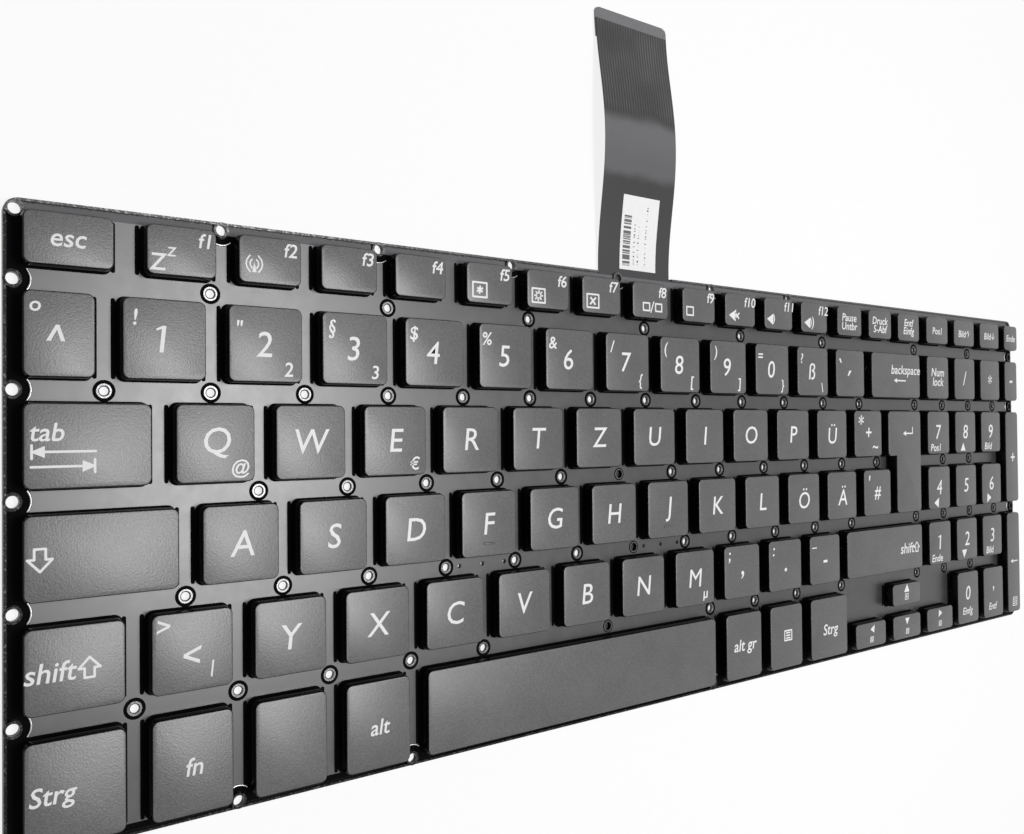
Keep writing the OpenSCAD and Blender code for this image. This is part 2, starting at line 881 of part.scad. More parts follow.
backing_film();
base_plate();
membrane_lower();
membrane_spacer();
membrane_upper();
cover_sheet();
rubber_domes();
scissor_outer_frames();
scissor_inner_frames();
stabiliser_wires();
flat_cable();
cable_stiffener();
cable_label();
function_row_keys();
number_row_keys();
bottom_row_keys();
numpad_keys();
key_q_outer_frame();
key_q_inner_frame();
key_q();
key_w();
key_e();
key_r();
key_t();
key_z();
key_u();
key_i();
key_o();
key_p();
key_u_umlaut();
key_plus();
key_a();
key_s();
key_d();
key_f();
key_g();
key_h();
key_j();
key_k();
key_l();
key_o_umlaut();
key_a_umlaut();
key_hash();
key_angle_bracket();
key_y();
key_x();
key_c();
key_v();
key_b();
key_n();
key_m();
key_comma();
key_period();
key_minus();
key_tab();
key_caps_lock();
key_left_shift();
key_right_shift();
key_space();
key_enter();
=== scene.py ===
"""Dresses the laptop keyboard: moulded caps with printed legends, linkages sorted by the keys
above them, a smooth flat cable, finishes for every layer, and a plain studio."""

import math

import bmesh
import bpy
from mathutils import Euler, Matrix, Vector


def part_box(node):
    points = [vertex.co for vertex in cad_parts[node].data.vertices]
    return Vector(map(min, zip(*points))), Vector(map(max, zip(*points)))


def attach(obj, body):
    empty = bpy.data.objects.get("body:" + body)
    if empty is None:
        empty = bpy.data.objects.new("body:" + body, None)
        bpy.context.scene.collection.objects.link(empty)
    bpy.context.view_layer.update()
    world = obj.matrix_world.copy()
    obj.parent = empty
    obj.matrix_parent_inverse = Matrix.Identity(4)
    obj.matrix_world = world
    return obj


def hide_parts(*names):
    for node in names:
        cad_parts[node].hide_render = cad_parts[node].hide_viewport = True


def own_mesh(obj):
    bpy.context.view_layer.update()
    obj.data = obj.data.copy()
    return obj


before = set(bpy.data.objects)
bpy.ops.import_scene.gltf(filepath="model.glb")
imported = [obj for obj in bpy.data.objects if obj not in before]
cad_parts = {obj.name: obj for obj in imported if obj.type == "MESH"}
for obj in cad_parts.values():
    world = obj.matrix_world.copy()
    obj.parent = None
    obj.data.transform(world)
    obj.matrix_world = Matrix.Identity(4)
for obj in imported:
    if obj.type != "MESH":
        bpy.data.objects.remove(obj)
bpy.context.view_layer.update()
bpy.ops.object.select_all(action="DESELECT")

# Sizes, in millimetres
# MM is a millimetre in metres, and FACING the least share of a normal that counts as facing.
MM = 0.001
NEAR = 0.01
THINNEST = 0.001
FACING = 0.9
PITCH_X = 19.0
PITCH_Y = 18.8
KEY_ONE_LEFT = -153.4
KEY_ONE_REAR = 39.9
LETTER_W = 15 / 19
LETTER_D = 14.7 / 18.8

CAP_TOP = 4.4
CAP_FOOT = 2.6
CAP_WALL = 0.8
CAP_ROOF = 0.7
CAP_CORNER = 1.3
CAP_DRAFT = 0.15
CAP_EDGE = 0.25
CORNER_STEPS = 5
EDGE_STEPS = 3
BAR_LENGTH = 3.2
BAR_WIDTH = 0.5
BAR_TOP = 4.65
BAR_ROUND = 0.2
CLIP_ROOM = 0.25
COAT_FROM = 4.0

INK_FOOT = 4.402
INK_TOP = 4.414
BIG = 4.8
PAD_MIDDLE = 0.36
CAPITAL_SHARE = 0.69
SLANT = 0.11
WORD_SLANT = 0.16
WORD = 3.1
LINE = 0.42
FINE = 0.3
STROKE_LIFT = 0.0015
HEAD_LIFT = 0.014
WEIGHT = 0.02
WORD_WEIGHT = 0.045
WORD_LINES = 0.8
TEXT_STEPS = 3
STROKE_ROUND = 0.45
HEAD_LONG = 2.3
HEAD_WIDE = 2.0

COVER_TOP = 1.1
RING_INSIDE = 1.3
RING_OUTSIDE = 1.95
RING_TOP = 1.115
BEAD_MIDDLE = 1.02
BEAD_THICK = 0.26
BEAD_HEIGHT = 1.0
BEAD_SKIRT = 0.1
ROUND_SIDES = 28

STRIP_WIDTH = 0.8
STRIP_OUT = 0.65
STRIP_RIGHT = 0.45
STRIP_IN = 0.15
STRIP_CORNER = 0.39
STRIP_TOP = 1.11
STRIP_LIMIT = 169.0
BAY_RADIUS = 2.95
RIM_BEAD = 0.19
RIM_ANGLE = 74
RIM_SIDES = 8
RIM_STEPS = 14
EDGE_X = 170.2
EDGE_Y = 54.2
REAR_FLANGE = 53.2

CABLE_X = -25.72
CABLE_WIDTH = 25.0
CABLE_THICK = 0.2
CABLE_ROOT = 52.3
CABLE_START = 56.5
CABLE_REACH = 66.0
CABLE_RISE = 3.2
CABLE_FOOT = 0.6
CABLE_FALL = 0.1
TRACK_PITCH = 0.9
STIFFENER_WIDTH = 25.4
STIFFENER_THICK = 0.25
LABEL_WIDTH = 12.8
LABEL_THICK = 0.1
LABEL_SHIFT = 1.0
LABEL_FROM = 0.003
LABEL_TO = 0.287
TIP_FROM = 8 / 67
STRIP_TO = 3 / 67
TIP_CORNER = 1.5
CABLE_COLUMNS = 24
CABLE_STEPS = 60
TIP_STEPS = 16
LABEL_STEPS = 20

# The angles up to which a piece's edges are shaded smooth, in degrees
MOULDED_SMOOTH = 40
LINKAGE_SMOOTH = 35
ROUND_SMOOTH = 60

# Where finishes change, in millimetres: heights on the plate, then places along the cable
CLOUD_SIZE = 9
COLLAR_FOOT = 1.10
COLLAR_BARE = 1.13
RIM_BARE = 1.20
RIM_COATED = 1.25
TRACKS_FROM = 94
TRACKS_FULL = 98
# The cable film's colour runs over the next span; its lighter band in the middle is a painted sheen on
# the arch, with wavering edges.
FILM_SHEEN_FROM = 59
FILM_SHEEN_TO = 119
FILM_CLOUD = 14
FILM_SHEEN_WAVER = 6
LABEL_BARS_FROM = 57.6
# The label's columns of bars: start and width from its left edge, length of a bar, the noise
# that stays blank as a share, and the place along the cable where the column ends
LABEL_COLUMNS = ((0.9, 2.6, 0.55, 0.47, 70.5), (4.6, 0.5, 0.5, 0.56, 69.0),
                 (6.0, 0.5, 0.6, 0.56, 68.0), (8.6, 0.5, 0.5, 0.58, 73.0))

# Camera: its place in millimetres, its turn in radians, and its lens
CAMERA_PLACE = (-198.97, 15.60, 178.65)
CAMERA_TURN = (0.02109, -0.64298, -0.01089)
CAMERA_LENS = 33.603
CAMERA_SENSOR = 36.0
CAMERA_NEAREST = 0.005

# Studio: how far the floor lies below the part in millimetres, the rest in metres and watts
FLOOR_DROP = 0.05
FLOOR_SIZE = 6
FLOOR_WHITE = 0.85
SOFTBOX_WIDE = 0.17
SOFTBOX_DEEP = 0.28
SOFTBOX_WATTS = 2.6
SOFTBOX_PLACE = (0.065, 0.012, 0.55)
WORLD_LIGHT = 0.25


def px(u):
    """The place across, in millimetres, of u key steps from the left side of the 1 key."""
    return KEY_ONE_LEFT + PITCH_X * u


def py(v):
    """The place in depth, in millimetres, of v key rows in front of the rear of the 1 key."""
    return KEY_ONE_REAR - PITCH_Y * v


# Camera
camera_data = bpy.data.cameras.new("camera")
camera = bpy.data.objects.new("camera", camera_data)
bpy.context.scene.collection.objects.link(camera)
camera.location = Vector(CAMERA_PLACE) * MM
camera.rotation_euler = Euler(CAMERA_TURN)
camera_data.sensor_width = CAMERA_SENSOR
camera_data.lens = CAMERA_LENS
camera_data.clip_start = CAMERA_NEAREST
bpy.context.scene.camera = camera


# Finishes
def linear(code):
    """An sRGB hex colour as the linear red, green, blue and alpha that a shader takes."""
    shares = [int(code[i:i + 2], 16) / 255 for i in (1, 3, 5)]
    return [s / 12.92 if s <= 0.04045 else ((s + 0.055) / 1.055) ** 2.4 for s in shares] + [1.0]


def add(tree, kind, settings=None, inputs=None, stops=()):
    """Adds one node: its settings, its inputs as values or links, and a colour ramp's stops."""
    made = tree.nodes.new(kind)
    for name, value in (settings or {}).items():
        setattr(made, name, value)
    for name, value in (inputs or {}).items():
        if isinstance(value, bpy.types.NodeSocket):
            tree.links.new(value, made.inputs[name])
        else:
            made.inputs[name].default_value = value
    if stops:
        band = made.color_ramp
        band.interpolation = "EASE"
        while len(band.elements) < len(stops):
            band.elements.new(0.5)
        for element, (position, code) in zip(band.elements, stops):
            element.position = position
            element.color = linear(code)
    return made


def blank(name):
    """A new material with an empty tree, and the socket of its place on the object, in metres."""
    material = bpy.data.materials.new(name)
    material.use_nodes = True
    material.node_tree.nodes.clear()
    place = add(material.node_tree, "ShaderNodeTexCoord").outputs["Object"]
    return material, material.node_tree, place


def grained(name, grain_mm, darker, lighter, rough, bump_mm, **surface):
    """A surface with a fine grain: two colours mixed by it, a range of roughness, and its relief."""
    material, tree, place = blank(name)
    grain = add(tree, "ShaderNodeTexNoise",
                inputs={"Vector": place, "Scale": 1 / (grain_mm * MM), "Detail": 3.0})
    cloud = add(tree, "ShaderNodeTexNoise",
                inputs={"Vector": place, "Scale": 1 / (CLOUD_SIZE * MM), "Detail": 4.0})
    mix = add(tree, "ShaderNodeMath", {"operation": "MULTIPLY_ADD"},
              {0: cloud.outputs["Fac"], 1: 0.35, 2: grain.outputs["Fac"]})
    colour = add(tree, "ShaderNodeValToRGB", inputs={"Fac": mix.outputs[0]},
                 stops=[(0.42, darker), (0.95, lighter)])
    roughness = add(tree, "ShaderNodeMapRange",
                    inputs={"Value": mix.outputs[0], "From Min": 0.4, "From Max": 1.0,
                            "To Min": rough[0], "To Max": rough[1]})
    relief = add(tree, "ShaderNodeBump",
                 inputs={"Strength": 1.0, "Distance": bump_mm * MM, "Height": grain.outputs["Fac"]})
    shader = add(tree, "ShaderNodeBsdfPrincipled",
                 inputs={"Base Color": colour.outputs["Color"], "Roughness": roughness.outputs[0],
                         "Normal": relief.outputs[0], **surface})
    add(tree, "ShaderNodeOutputMaterial", inputs={"Surface": shader.outputs[0]})
    return material


# ABS caps sprayed with a matt soft coat: a fine orange-peel grain that spreads the lamp's sheen.
# The real grain is about 0.1 mm, too fine to show, so it is drawn at 0.3 mm.
cap_coat = grained("matt soft coat on ABS", 0.3, "#3c3c3d", "#555556", (0.34, 0.41), 0.035,
                   IOR=1.6)
# The same mouldings below the coat: bare black ABS, polished by its mould, so it stays dark.
cap_flank = grained("bare black moulded ABS", 0.6, "#020202", "#050505", (0.22, 0.34), 0.0005,
                    **{"Specular IOR Level": 0.15})
# Pad-printed two-part ink: a thin, slightly uneven white layer.
ink = grained("white pad printing ink", 0.12, "#d8d8d8", "#ececec", (0.45, 0.6), 0.001, IOR=1.5)
# The cover sheet, PET printed with a grey metallic ink: satin, so it swings from pale to dark.
# The ink's own flakes are too fine to show, so its uneven print is drawn at 2.5 mm.
cover_ink = grained("metallic ink on PET sheet", 2.5, "#29292a", "#323233", (0.32, 0.37), 0.001,
                    IOR=1.65)
# The black printed circuit sheet: matt, so it takes no light. The same flat black is laid round the
# posts and beside the caps as painted shade.
black_membrane_and_shade = grained("black PET membrane and painted shade", 0.5, "#020202", "#050505", (0.7, 0.85), 0.001,
                      **{"Specular IOR Level": 0.05})
# Clear PET film, rolled: a milky cast with a soft gloss.
membrane_sheet = grained("milky PET membrane", 0.5, "#b9bdb8", "#cfd3cd", (0.25, 0.4), 0.001,
                         IOR=1.57)
# Thin black polyester on the underside, with a leathery emboss.
backing = grained("embossed black polyester film", 0.4, "#0b0b0c", "#161618", (0.45, 0.6), 0.01,
                  IOR=1.55)
# Silicone rubber, moulded: soft and cloudy.
rubber = grained("moulded silicone rubber", 0.6, "#8f9290", "#a6a9a6", (0.5, 0.65), 0.004,
                 IOR=1.43)
# Acetal linkages, moulded: slippery, a low waxy shine.
acetal = grained("moulded black acetal", 0.5, "#101011", "#1b1b1c", (0.3, 0.42), 0.002, IOR=1.48)
# Stainless wire, drawn through a die: bright, with a fine grain.
wire_steel = grained("drawn stainless steel wire", 0.2, "#a9a9ab", "#c8c8ca", (0.22, 0.34), 0.001,
                     Metallic=1.0)
# Steel rolled over at each post and left bare: a soft bright edge.
rolled_steel = grained("bare rolled steel edge", 0.2, "#464647", "#666668", (0.26, 0.4), 0.002,
                       Metallic=1.0)
# The cover sheet's turned-up rim, coloured light and metallic as a painted highlight: a thin bright line
# along its fold.
rim_highlight_finish = grained("painted highlight on the sheet's folded rim", 0.3, "#8f8f90", "#c4c4c5", (0.25, 0.4), 0.002,
                   Metallic=0.9)
# Polyester stiffener under the cable's tip: matt, light grey.
stiffener_board = grained("light grey polyester stiffener", 0.3, "#626264", "#6c6c6e", (0.4, 0.55),
                          0.003, IOR=1.55)


def plate_finish():
    """Steel plate, stamped and coated black: bare post collars, a scuffed rim, a grey rear edge."""
    material, tree, place = blank("black coated stamped steel")
    apart = add(tree, "ShaderNodeSeparateXYZ", inputs={"Vector": place})
    above = add(tree, "ShaderNodeMapRange",
                inputs={"Value": apart.outputs["Z"], "From Min": COLLAR_FOOT * MM,
                        "From Max": COLLAR_BARE * MM})
    below = add(tree, "ShaderNodeMapRange",
                inputs={"Value": apart.outputs["Z"], "From Min": RIM_COATED * MM,
                        "From Max": RIM_BARE * MM})
    scuff = add(tree, "ShaderNodeTexNoise",
                inputs={"Vector": place, "Scale": 1 / (0.5 * MM), "Detail": 2.0})
    scuffed = add(tree, "ShaderNodeMapRange",
                  inputs={"Value": scuff.outputs["Fac"], "From Min": 0.52, "From Max": 0.66,
                          "To Min": 0.05, "To Max": 0.6})
    kept = add(tree, "ShaderNodeMath", {"operation": "MAXIMUM"},
               {0: below.outputs[0], 1: scuffed.outputs[0]})
    bare = add(tree, "ShaderNodeMath", {"operation": "MULTIPLY"},
               {0: above.outputs[0], 1: kept.outputs[0]})
    brushed = add(tree, "ShaderNodeTexNoise",
                  inputs={"Vector": place, "Scale": 1 / (0.3 * MM), "Detail": 3.0})
    steel = add(tree, "ShaderNodeValToRGB", inputs={"Fac": brushed.outputs["Fac"]},
                stops=[(0.3, "#4c4c4d"), (0.8, "#78787a")])
    black = add(tree, "ShaderNodeValToRGB", inputs={"Fac": brushed.outputs["Fac"]},
                stops=[(0.3, "#080808"), (0.8, "#131314")])
    colour = add(tree, "ShaderNodeMix", {"data_type": "RGBA"},
                 {"Factor": bare.outputs[0], "A": black.outputs["Color"],
                  "B": steel.outputs["Color"]})
    rear = add(tree, "ShaderNodeMath", {"operation": "GREATER_THAN"},
               {0: apart.outputs["Y"], 1: REAR_FLANGE * MM})
    flange = add(tree, "ShaderNodeValToRGB", inputs={"Fac": scuff.outputs["Fac"]},
                 stops=[(0.35, "#525253"), (0.65, "#727273")])
    colour = add(tree, "ShaderNodeMix", {"data_type": "RGBA"},
                 {"Factor": rear.outputs[0], "A": colour.outputs["Result"],
                  "B": flange.outputs["Color"]})
    roughness = add(tree, "ShaderNodeMapRange",
                    inputs={"Value": brushed.outputs["Fac"], "To Min": 0.18, "To Max": 0.36})
    relief = add(tree, "ShaderNodeBump",
                 inputs={"Distance": 0.002 * MM, "Height": brushed.outputs["Fac"]})
    shader = add(tree, "ShaderNodeBsdfPrincipled",
                 inputs={"Base Color": colour.outputs["Result"], "Metallic": bare.outputs[0],
                         "Roughness": roughness.outputs[0], "Specular IOR Level": 0.12,
                         "Normal": relief.outputs[0]})
    add(tree, "ShaderNodeOutputMaterial", inputs={"Surface": shader.outputs[0]})
    return material


def cable_finish():
    """Flat flex: dark silver tracks that run lengthwise and show through a grey shield film, which has a
    lighter band across it, a painted sheen.
    """
    material, tree, place = blank("silver tracks under grey film with a painted sheen")
    apart = add(tree, "ShaderNodeSeparateXYZ", inputs={"Vector": place})
    wave = add(tree, "ShaderNodeMath", {"operation": "MULTIPLY"},
               {0: apart.outputs["X"], 1: 2 * math.pi / (TRACK_PITCH * MM)})
    stripe = add(tree, "ShaderNodeMath", {"operation": "SINE"}, {0: wave.outputs[0]})
    tracks = add(tree, "ShaderNodeMapRange",
                 inputs={"Value": stripe.outputs[0], "From Min": -0.6, "From Max": 0.6})
    far = add(tree, "ShaderNodeMapRange",
              inputs={"Value": apart.outputs["Y"], "From Min": TRACKS_FROM * MM,
                      "From Max": TRACKS_FULL * MM,
                      "To Min": 0.05, "To Max": 0.8})
    shown = add(tree, "ShaderNodeMath", {"operation": "MULTIPLY"},
                {0: tracks.outputs[0], 1: far.outputs[0]})
    cloud = add(tree, "ShaderNodeTexNoise",
                inputs={"Vector": place, "Scale": 1 / (FILM_CLOUD * MM), "Detail": 2.0})
    along = add(tree, "ShaderNodeMath", {"operation": "MULTIPLY_ADD"},
                {0: cloud.outputs["Fac"], 1: FILM_SHEEN_WAVER * MM, 2: apart.outputs["Y"]})
    share = add(tree, "ShaderNodeMapRange",
                inputs={"Value": along.outputs[0], "From Min": FILM_SHEEN_FROM * MM,
                        "From Max": FILM_SHEEN_TO * MM})
    # Painted sheen: the film is coloured lighter in a band across the arch.
    film = add(tree, "ShaderNodeValToRGB", inputs={"Fac": share.outputs[0]},
               stops=[(0.0, "#2e2e30"), (0.38, "#28282a"), (0.44, "#565658"),
                      (0.62, "#606062"), (0.68, "#1a1a1c"), (1.0, "#242426")])
    silver = add(tree, "ShaderNodeValToRGB", inputs={"Fac": cloud.outputs["Fac"]},
                 stops=[(0.3, "#333335"), (0.7, "#565657")])
    colour = add(tree, "ShaderNodeMix", {"data_type": "RGBA"},
                 {"Factor": shown.outputs[0], "A": film.outputs["Color"],
                  "B": silver.outputs["Color"]})
    relief = add(tree, "ShaderNodeBump",
                 inputs={"Distance": 0.01 * MM, "Height": shown.outputs[0]})
    shader = add(tree, "ShaderNodeBsdfPrincipled",
                 inputs={"Base Color": colour.outputs["Result"], "Metallic": 0.25,
                         "Roughness": 0.3, "IOR": 1.57, "Normal": relief.outputs[0]})
    add(tree, "ShaderNodeOutputMaterial", inputs={"Surface": shader.outputs[0]})
    return material


def label_finish():
    """Coated white paper with plain printed bars: one wide column and three narrow ones."""
    material, tree, place = blank("coated white paper with plain bars")
    apart = add(tree, "ShaderNodeSeparateXYZ", inputs={"Vector": place})
    total = None
    left = CABLE_X + LABEL_SHIFT - LABEL_WIDTH / 2
    for start, wide, stretch, cut, y_to in LABEL_COLUMNS:
        edges = (("GREATER_THAN", "X", left + start), ("LESS_THAN", "X", left + start + wide),
                 ("GREATER_THAN", "Y", LABEL_BARS_FROM), ("LESS_THAN", "Y", y_to))
        column = [add(tree, "ShaderNodeMath", {"operation": kind},
                      {0: apart.outputs[axis], 1: edge * MM}) for kind, axis, edge in edges]
        lines = add(tree, "ShaderNodeTexNoise", {"noise_dimensions": "1D"},
                    {"W": apart.outputs["Y"], "Scale": 1 / (stretch * MM), "Detail": 2.0})
        dark = add(tree, "ShaderNodeMath", {"operation": "GREATER_THAN"},
                   {0: lines.outputs["Fac"], 1: cut})
        for part in column:
            dark = add(tree, "ShaderNodeMath", {"operation": "MULTIPLY"},
                       {0: dark.outputs[0], 1: part.outputs[0]})
        if total:
            dark = add(tree, "ShaderNodeMath", {"operation": "MAXIMUM"},
                       {0: total.outputs[0], 1: dark.outputs[0]})
        total = dark
    fibre = add(tree, "ShaderNodeTexNoise", inputs={"Vector": place, "Scale": 1 / (0.2 * MM)})
    sheet = add(tree, "ShaderNodeValToRGB", inputs={"Fac": fibre.outputs["Fac"]},
                stops=[(0.3, "#e4e4e4"), (0.7, "#f0f0f0")])
    colour = add(tree, "ShaderNodeMix", {"data_type": "RGBA"},
                 {"Factor": total.outputs[0], "A": sheet.outputs["Color"],
                  "B": linear("#5a5a5b")})
    relief = add(tree, "ShaderNodeBump",
                 inputs={"Distance": 0.003 * MM, "Height": fibre.outputs["Fac"]})
    shader = add(tree, "ShaderNodeBsdfPrincipled",
                 inputs={"Base Color": colour.outputs["Result"], "Roughness": 0.6, "IOR": 1.5,
                         "Normal": relief.outputs[0]})
    add(tree, "ShaderNodeOutputMaterial", inputs={"Surface": shader.outputs[0]})
    return material


def grey_behind(finish, name, grey):
    """A copy of a finish that turns grey behind the caps, where the sheet's own grey ink runs on."""
    made = finish.copy()
    made.name = name
    tree = made.node_tree
    shader = next(n for n in tree.nodes if n.type == "BSDF_PRINCIPLED")
    place = next(n for n in tree.nodes if n.type == "TEX_COORD").outputs["Object"]
    apart = add(tree, "ShaderNodeSeparateXYZ", inputs={"Vector": place})
    rear = add(tree, "ShaderNodeMath", {"operation": "GREATER_THAN"},
               {0: apart.outputs["Y"], 1: REAR_FLANGE * MM})
    before = shader.inputs["Base Color"].links[0].from_socket
    colour = add(tree, "ShaderNodeMix", {"data_type": "RGBA"},
                 {"Factor": rear.outputs[0], "A": before, "B": linear(grey)})
    tree.links.new(colour.outputs["Result"], shader.inputs["Base Color"])
    return made


membrane_edge = grey_behind(black_membrane_and_shade, "black PET membrane with a grey rear margin", "#6e6e70")
plate_steel = plate_finish()
cable_film = cable_finish()
paper = label_finish()


def coat(piece, *materials):
    """Gives a piece these materials, in this order."""
    piece.data.materials.clear()
    for material in materials:
        piece.data.materials.append(material)


# The layers whose CAD shape is right keep it and take a finish.
for node_name, material in (
    ("backing_film", backing),
    ("base_plate", plate_steel),
    ("membrane_lower", membrane_sheet),
    ("membrane_spacer", membrane_sheet),
    ("membrane_upper", membrane_edge),
    ("cover_sheet", cover_ink),
    ("key_q_outer_frame", acetal),
    ("key_q_inner_frame", acetal),
):
    coat(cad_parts[node_name], material)


# Modelling helpers
def choose(*pieces):
    """Selects only these objects and makes the first active."""
    bpy.ops.object.select_all(action="DESELECT")
    for piece in pieces:
        piece.select_set(True)
    bpy.context.view_layer.objects.active = pieces[0]


def pick(piece, test, kind="FACE"):
    """In edit mode, selects the faces or edges for which the test holds."""
    bpy.ops.mesh.select_mode(type=kind)
    bpy.ops.mesh.select_all(action="DESELECT")
    shape = bmesh.from_edit_mesh(piece.data)
    for part in shape.faces if kind == "FACE" else shape.edges:
        if test(part):
            part.select_set(True)
    bmesh.update_edit_mesh(piece.data)


def settle(piece):
    """Puts a piece's place into its mesh, so that its object is at the origin."""
    choose(piece)
    bpy.ops.object.transform_apply(location=True, rotation=True, scale=True)
    return piece


def smoothed(piece, angle):
    """Shades a piece smooth across its edges up to this angle, in degrees."""
    choose(piece)
    bpy.ops.object.shade_smooth_by_angle(angle=math.radians(angle))
    return piece


def joined(pieces, name):
    """Joins pieces into one, under this name."""
    choose(*pieces)
    if len(pieces) > 1:
        bpy.ops.object.join()
    piece = bpy.context.view_layer.objects.active
    piece.name = name
    piece.data.name = name
    return piece


def twin(piece, shift):
    """A copy with its own mesh, moved by shift, in millimetres."""
    copy = piece.copy()
    copy.data = piece.data.copy()
    bpy.context.scene.collection.objects.link(copy)
    copy.location = Vector(shift) * MM
    return settle(copy)


def cuboid(middle, size, turn=0.0):
    """A plain block, by its middle and size in millimetres and its turn about up in radians."""
    bpy.ops.object.select_all(action="DESELECT")
    bpy.ops.mesh.primitive_cube_add(size=1, location=Vector(middle) * MM)
    made = bpy.context.object
    made.scale = Vector(size) * MM
    made.rotation_euler.z = turn
    return settle(made)


def is_corner(edge):
    """True for an edge that runs straight up an outer corner."""
    a, b = edge.verts
    return edge.is_convex and abs(a.co.z - b.co.z) > THINNEST * MM


def carry(piece, body, slot, *nodes):
    """The piece rides on the body and stands in for the nodes; the slot is not used."""
    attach(piece, body)
    if nodes:
        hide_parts(*nodes)
    return piece


# Key caps
def cap_from(block, wide, deep):
    """Turns a plain block into a cap: round corners, draft, a soft top edge, hollow below."""
    choose(block)
    bpy.ops.object.mode_set(mode="EDIT")
    bpy.ops.mesh.select_all(action="SELECT")
    bpy.ops.mesh.dissolve_limited(angle_limit=math.radians(1))
    pick(block, is_corner, "EDGE")
    bpy.ops.mesh.bevel(offset=CAP_CORNER * MM, segments=CORNER_STEPS, affect="EDGES")
    pick(block, lambda f: f.normal.z > FACING)
    bpy.ops.transform.resize(
        value=((wide - 2 * CAP_DRAFT) / wide, (deep - 2 * CAP_DRAFT) / deep, 1))
    pick(block, lambda e: all(v.co.z > (CAP_TOP - NEAR) * MM for v in e.verts), "EDGE")
    bpy.ops.mesh.bevel(offset=CAP_EDGE * MM, segments=EDGE_STEPS, affect="EDGES")
    pick(block, lambda f: f.normal.z < -FACING)
    bpy.ops.mesh.inset(thickness=CAP_WALL * MM)
    rise = (CAP_TOP - CAP_ROOF - CAP_FOOT) * MM
    bpy.ops.mesh.extrude_region_move(TRANSFORM_OT_translate={"value": (0, 0, rise)})
    bpy.ops.object.mode_set(mode="OBJECT")
    coat(block, cap_coat, cap_flank)
    for face in block.data.polygons:
        is_top = face.normal.z > FACING and face.center.z > COAT_FROM * MM
        face.material_index = 0 if is_top else 1
    return smoothed(block, MOULDED_SMOOTH)


def block_cap(wide, deep):
    """The cap of a plain key, with its rear left corner over the origin."""
    block = cuboid((wide / 2, -deep / 2, (CAP_TOP + CAP_FOOT) / 2),
                   (wide, deep, CAP_TOP - CAP_FOOT))
    return cap_from(block, wide, deep)


def stepped_cap(wide, deep, step, shallow):
    """The enter cap: its rear part reaches step further to the left, and is shallow deep."""
    block = cuboid((step + wide / 2, -deep / 2, (CAP_TOP + CAP_FOOT) / 2),
                   (wide, deep, CAP_TOP - CAP_FOOT))
    bpy.ops.object.mode_set(mode="EDIT")
    bpy.ops.mesh.select_all(action="SELECT")
    bpy.ops.mesh.bisect(plane_co=(0, -shallow * MM, 0), plane_no=(0, 1, 0))
    pick(block, lambda f: f.normal.x < -FACING and f.calc_center_median().y > -shallow * MM)
    bpy.ops.mesh.extrude_region_move(TRANSFORM_OT_translate={"value": (-step * MM, 0, 0)})
    bpy.ops.object.mode_set(mode="OBJECT")
    return cap_from(block, wide + step, deep)


# In key steps: a name ends in _U for a place across, _V for one in depth, _W for a width and
# _D for a depth. LEFT_U is where every row begins.
LEFT_U = -0.828
FUNCTION_STEP = 0.887
END_STEP = 0.876
END_U = 11.055
ARROW_V = 4.547
FUNCTION_V = -0.715
FUNCTION_D = 0.494
WIDE_D = 0.967
LOW_D = 0.42
GAP_U = 4 / 19
PAD_U = [13.715, 14.653, 15.592, 16.53]
PAD_W = 0.727

# Each cap: the left side and rear in key steps, then its width and depth in key steps.
FUNCTION_ROW = [(LEFT_U, FUNCTION_V, 0.77, FUNCTION_D)]
for first in (0.218, 3.829, 7.446):
    FUNCTION_ROW += [(first + FUNCTION_STEP * k, FUNCTION_V, FUNCTION_STEP - GAP_U, FUNCTION_D)
                     for k in range(4)]
FUNCTION_ROW += [(END_U + END_STEP * k, FUNCTION_V, END_STEP - GAP_U + 0.01, FUNCTION_D)
                 for k in range(3)]
FUNCTION_ROW += [(u, FUNCTION_V, PAD_W, FUNCTION_D) for u in PAD_U[:3]]
FUNCTION_ROW += [(PAD_U[3], FUNCTION_V, 0.52, FUNCTION_D)]
NUMBER_ROW = [(LEFT_U, 0, 0.606, LETTER_D)]
NUMBER_ROW += [(k, 0, LETTER_W, LETTER_D) for k in range(12)]
NUMBER_ROW += [(12, 0, 1.483, LETTER_D)]
BOTTOM_ROW = [(LEFT_U, 4, 0.867, WIDE_D)]
BOTTOM_ROW += [(u, 4, LETTER_W, WIDE_D) for u in (0.254, 1.254, 2.254, 8.28)]
BOTTOM_ROW += [(9.27, 4, 0.775, WIDE_D), (10.26, 4, 0.96, WIDE_D), (11.45, ARROW_V, 0.87, LOW_D),
               (12.533, ARROW_V, 0.86, LOW_D), (13.6, ARROW_V, 0.865, LOW_D),
               (12.533, 4, 0.86, 0.385)]
NUMBER_PAD = [(u, v, PAD_W, LETTER_D) for v in range(4) for u in PAD_U[:3]]
NUMBER_PAD += [(14.653, 4, 0.742, WIDE_D), (15.592, 4, 0.742, WIDE_D), (PAD_U[3], 0, 0.49, LETTER_D),
               (PAD_U[3], 1, 0.49, 1 + LETTER_D), (PAD_U[3], 3, 0.49, 1.967)]
ROWS = {"function_row": FUNCTION_ROW, "number_row": NUMBER_ROW, "bottom_row": BOTTOM_ROW,
        "numpad": NUMBER_PAD}

MOVING = {}
for left, v, names in (
    (0.485, 1, "q w e r t z u i o p u_umlaut plus"),
    (0.735, 2, "a s d f g h j k l o_umlaut a_umlaut hash"),
    (0.252, 3, "angle_bracket y x c v b n m comma period minus"),
):
    for k, key in enumerate(names.split()):
        MOVING[key] = (left + k, v, LETTER_W, LETTER_D)
MOVING["tab"] = (LEFT_U, 1, 1.103, LETTER_D)
MOVING["caps_lock"] = (LEFT_U, 2, 1.353, LETTER_D)
MOVING["left_shift"] = (LEFT_U, 3, 0.86, LETTER_D)
MOVING["right_shift"] = (11.24, 3, 2.243, LETTER_D)
MOVING["space"] = (3.265, 4, 4.8, WIDE_D)
ENTER_LEFT = 12.47
ENTER_STEP = 0.25
ENTER_W = 0.763

first_caps = {}


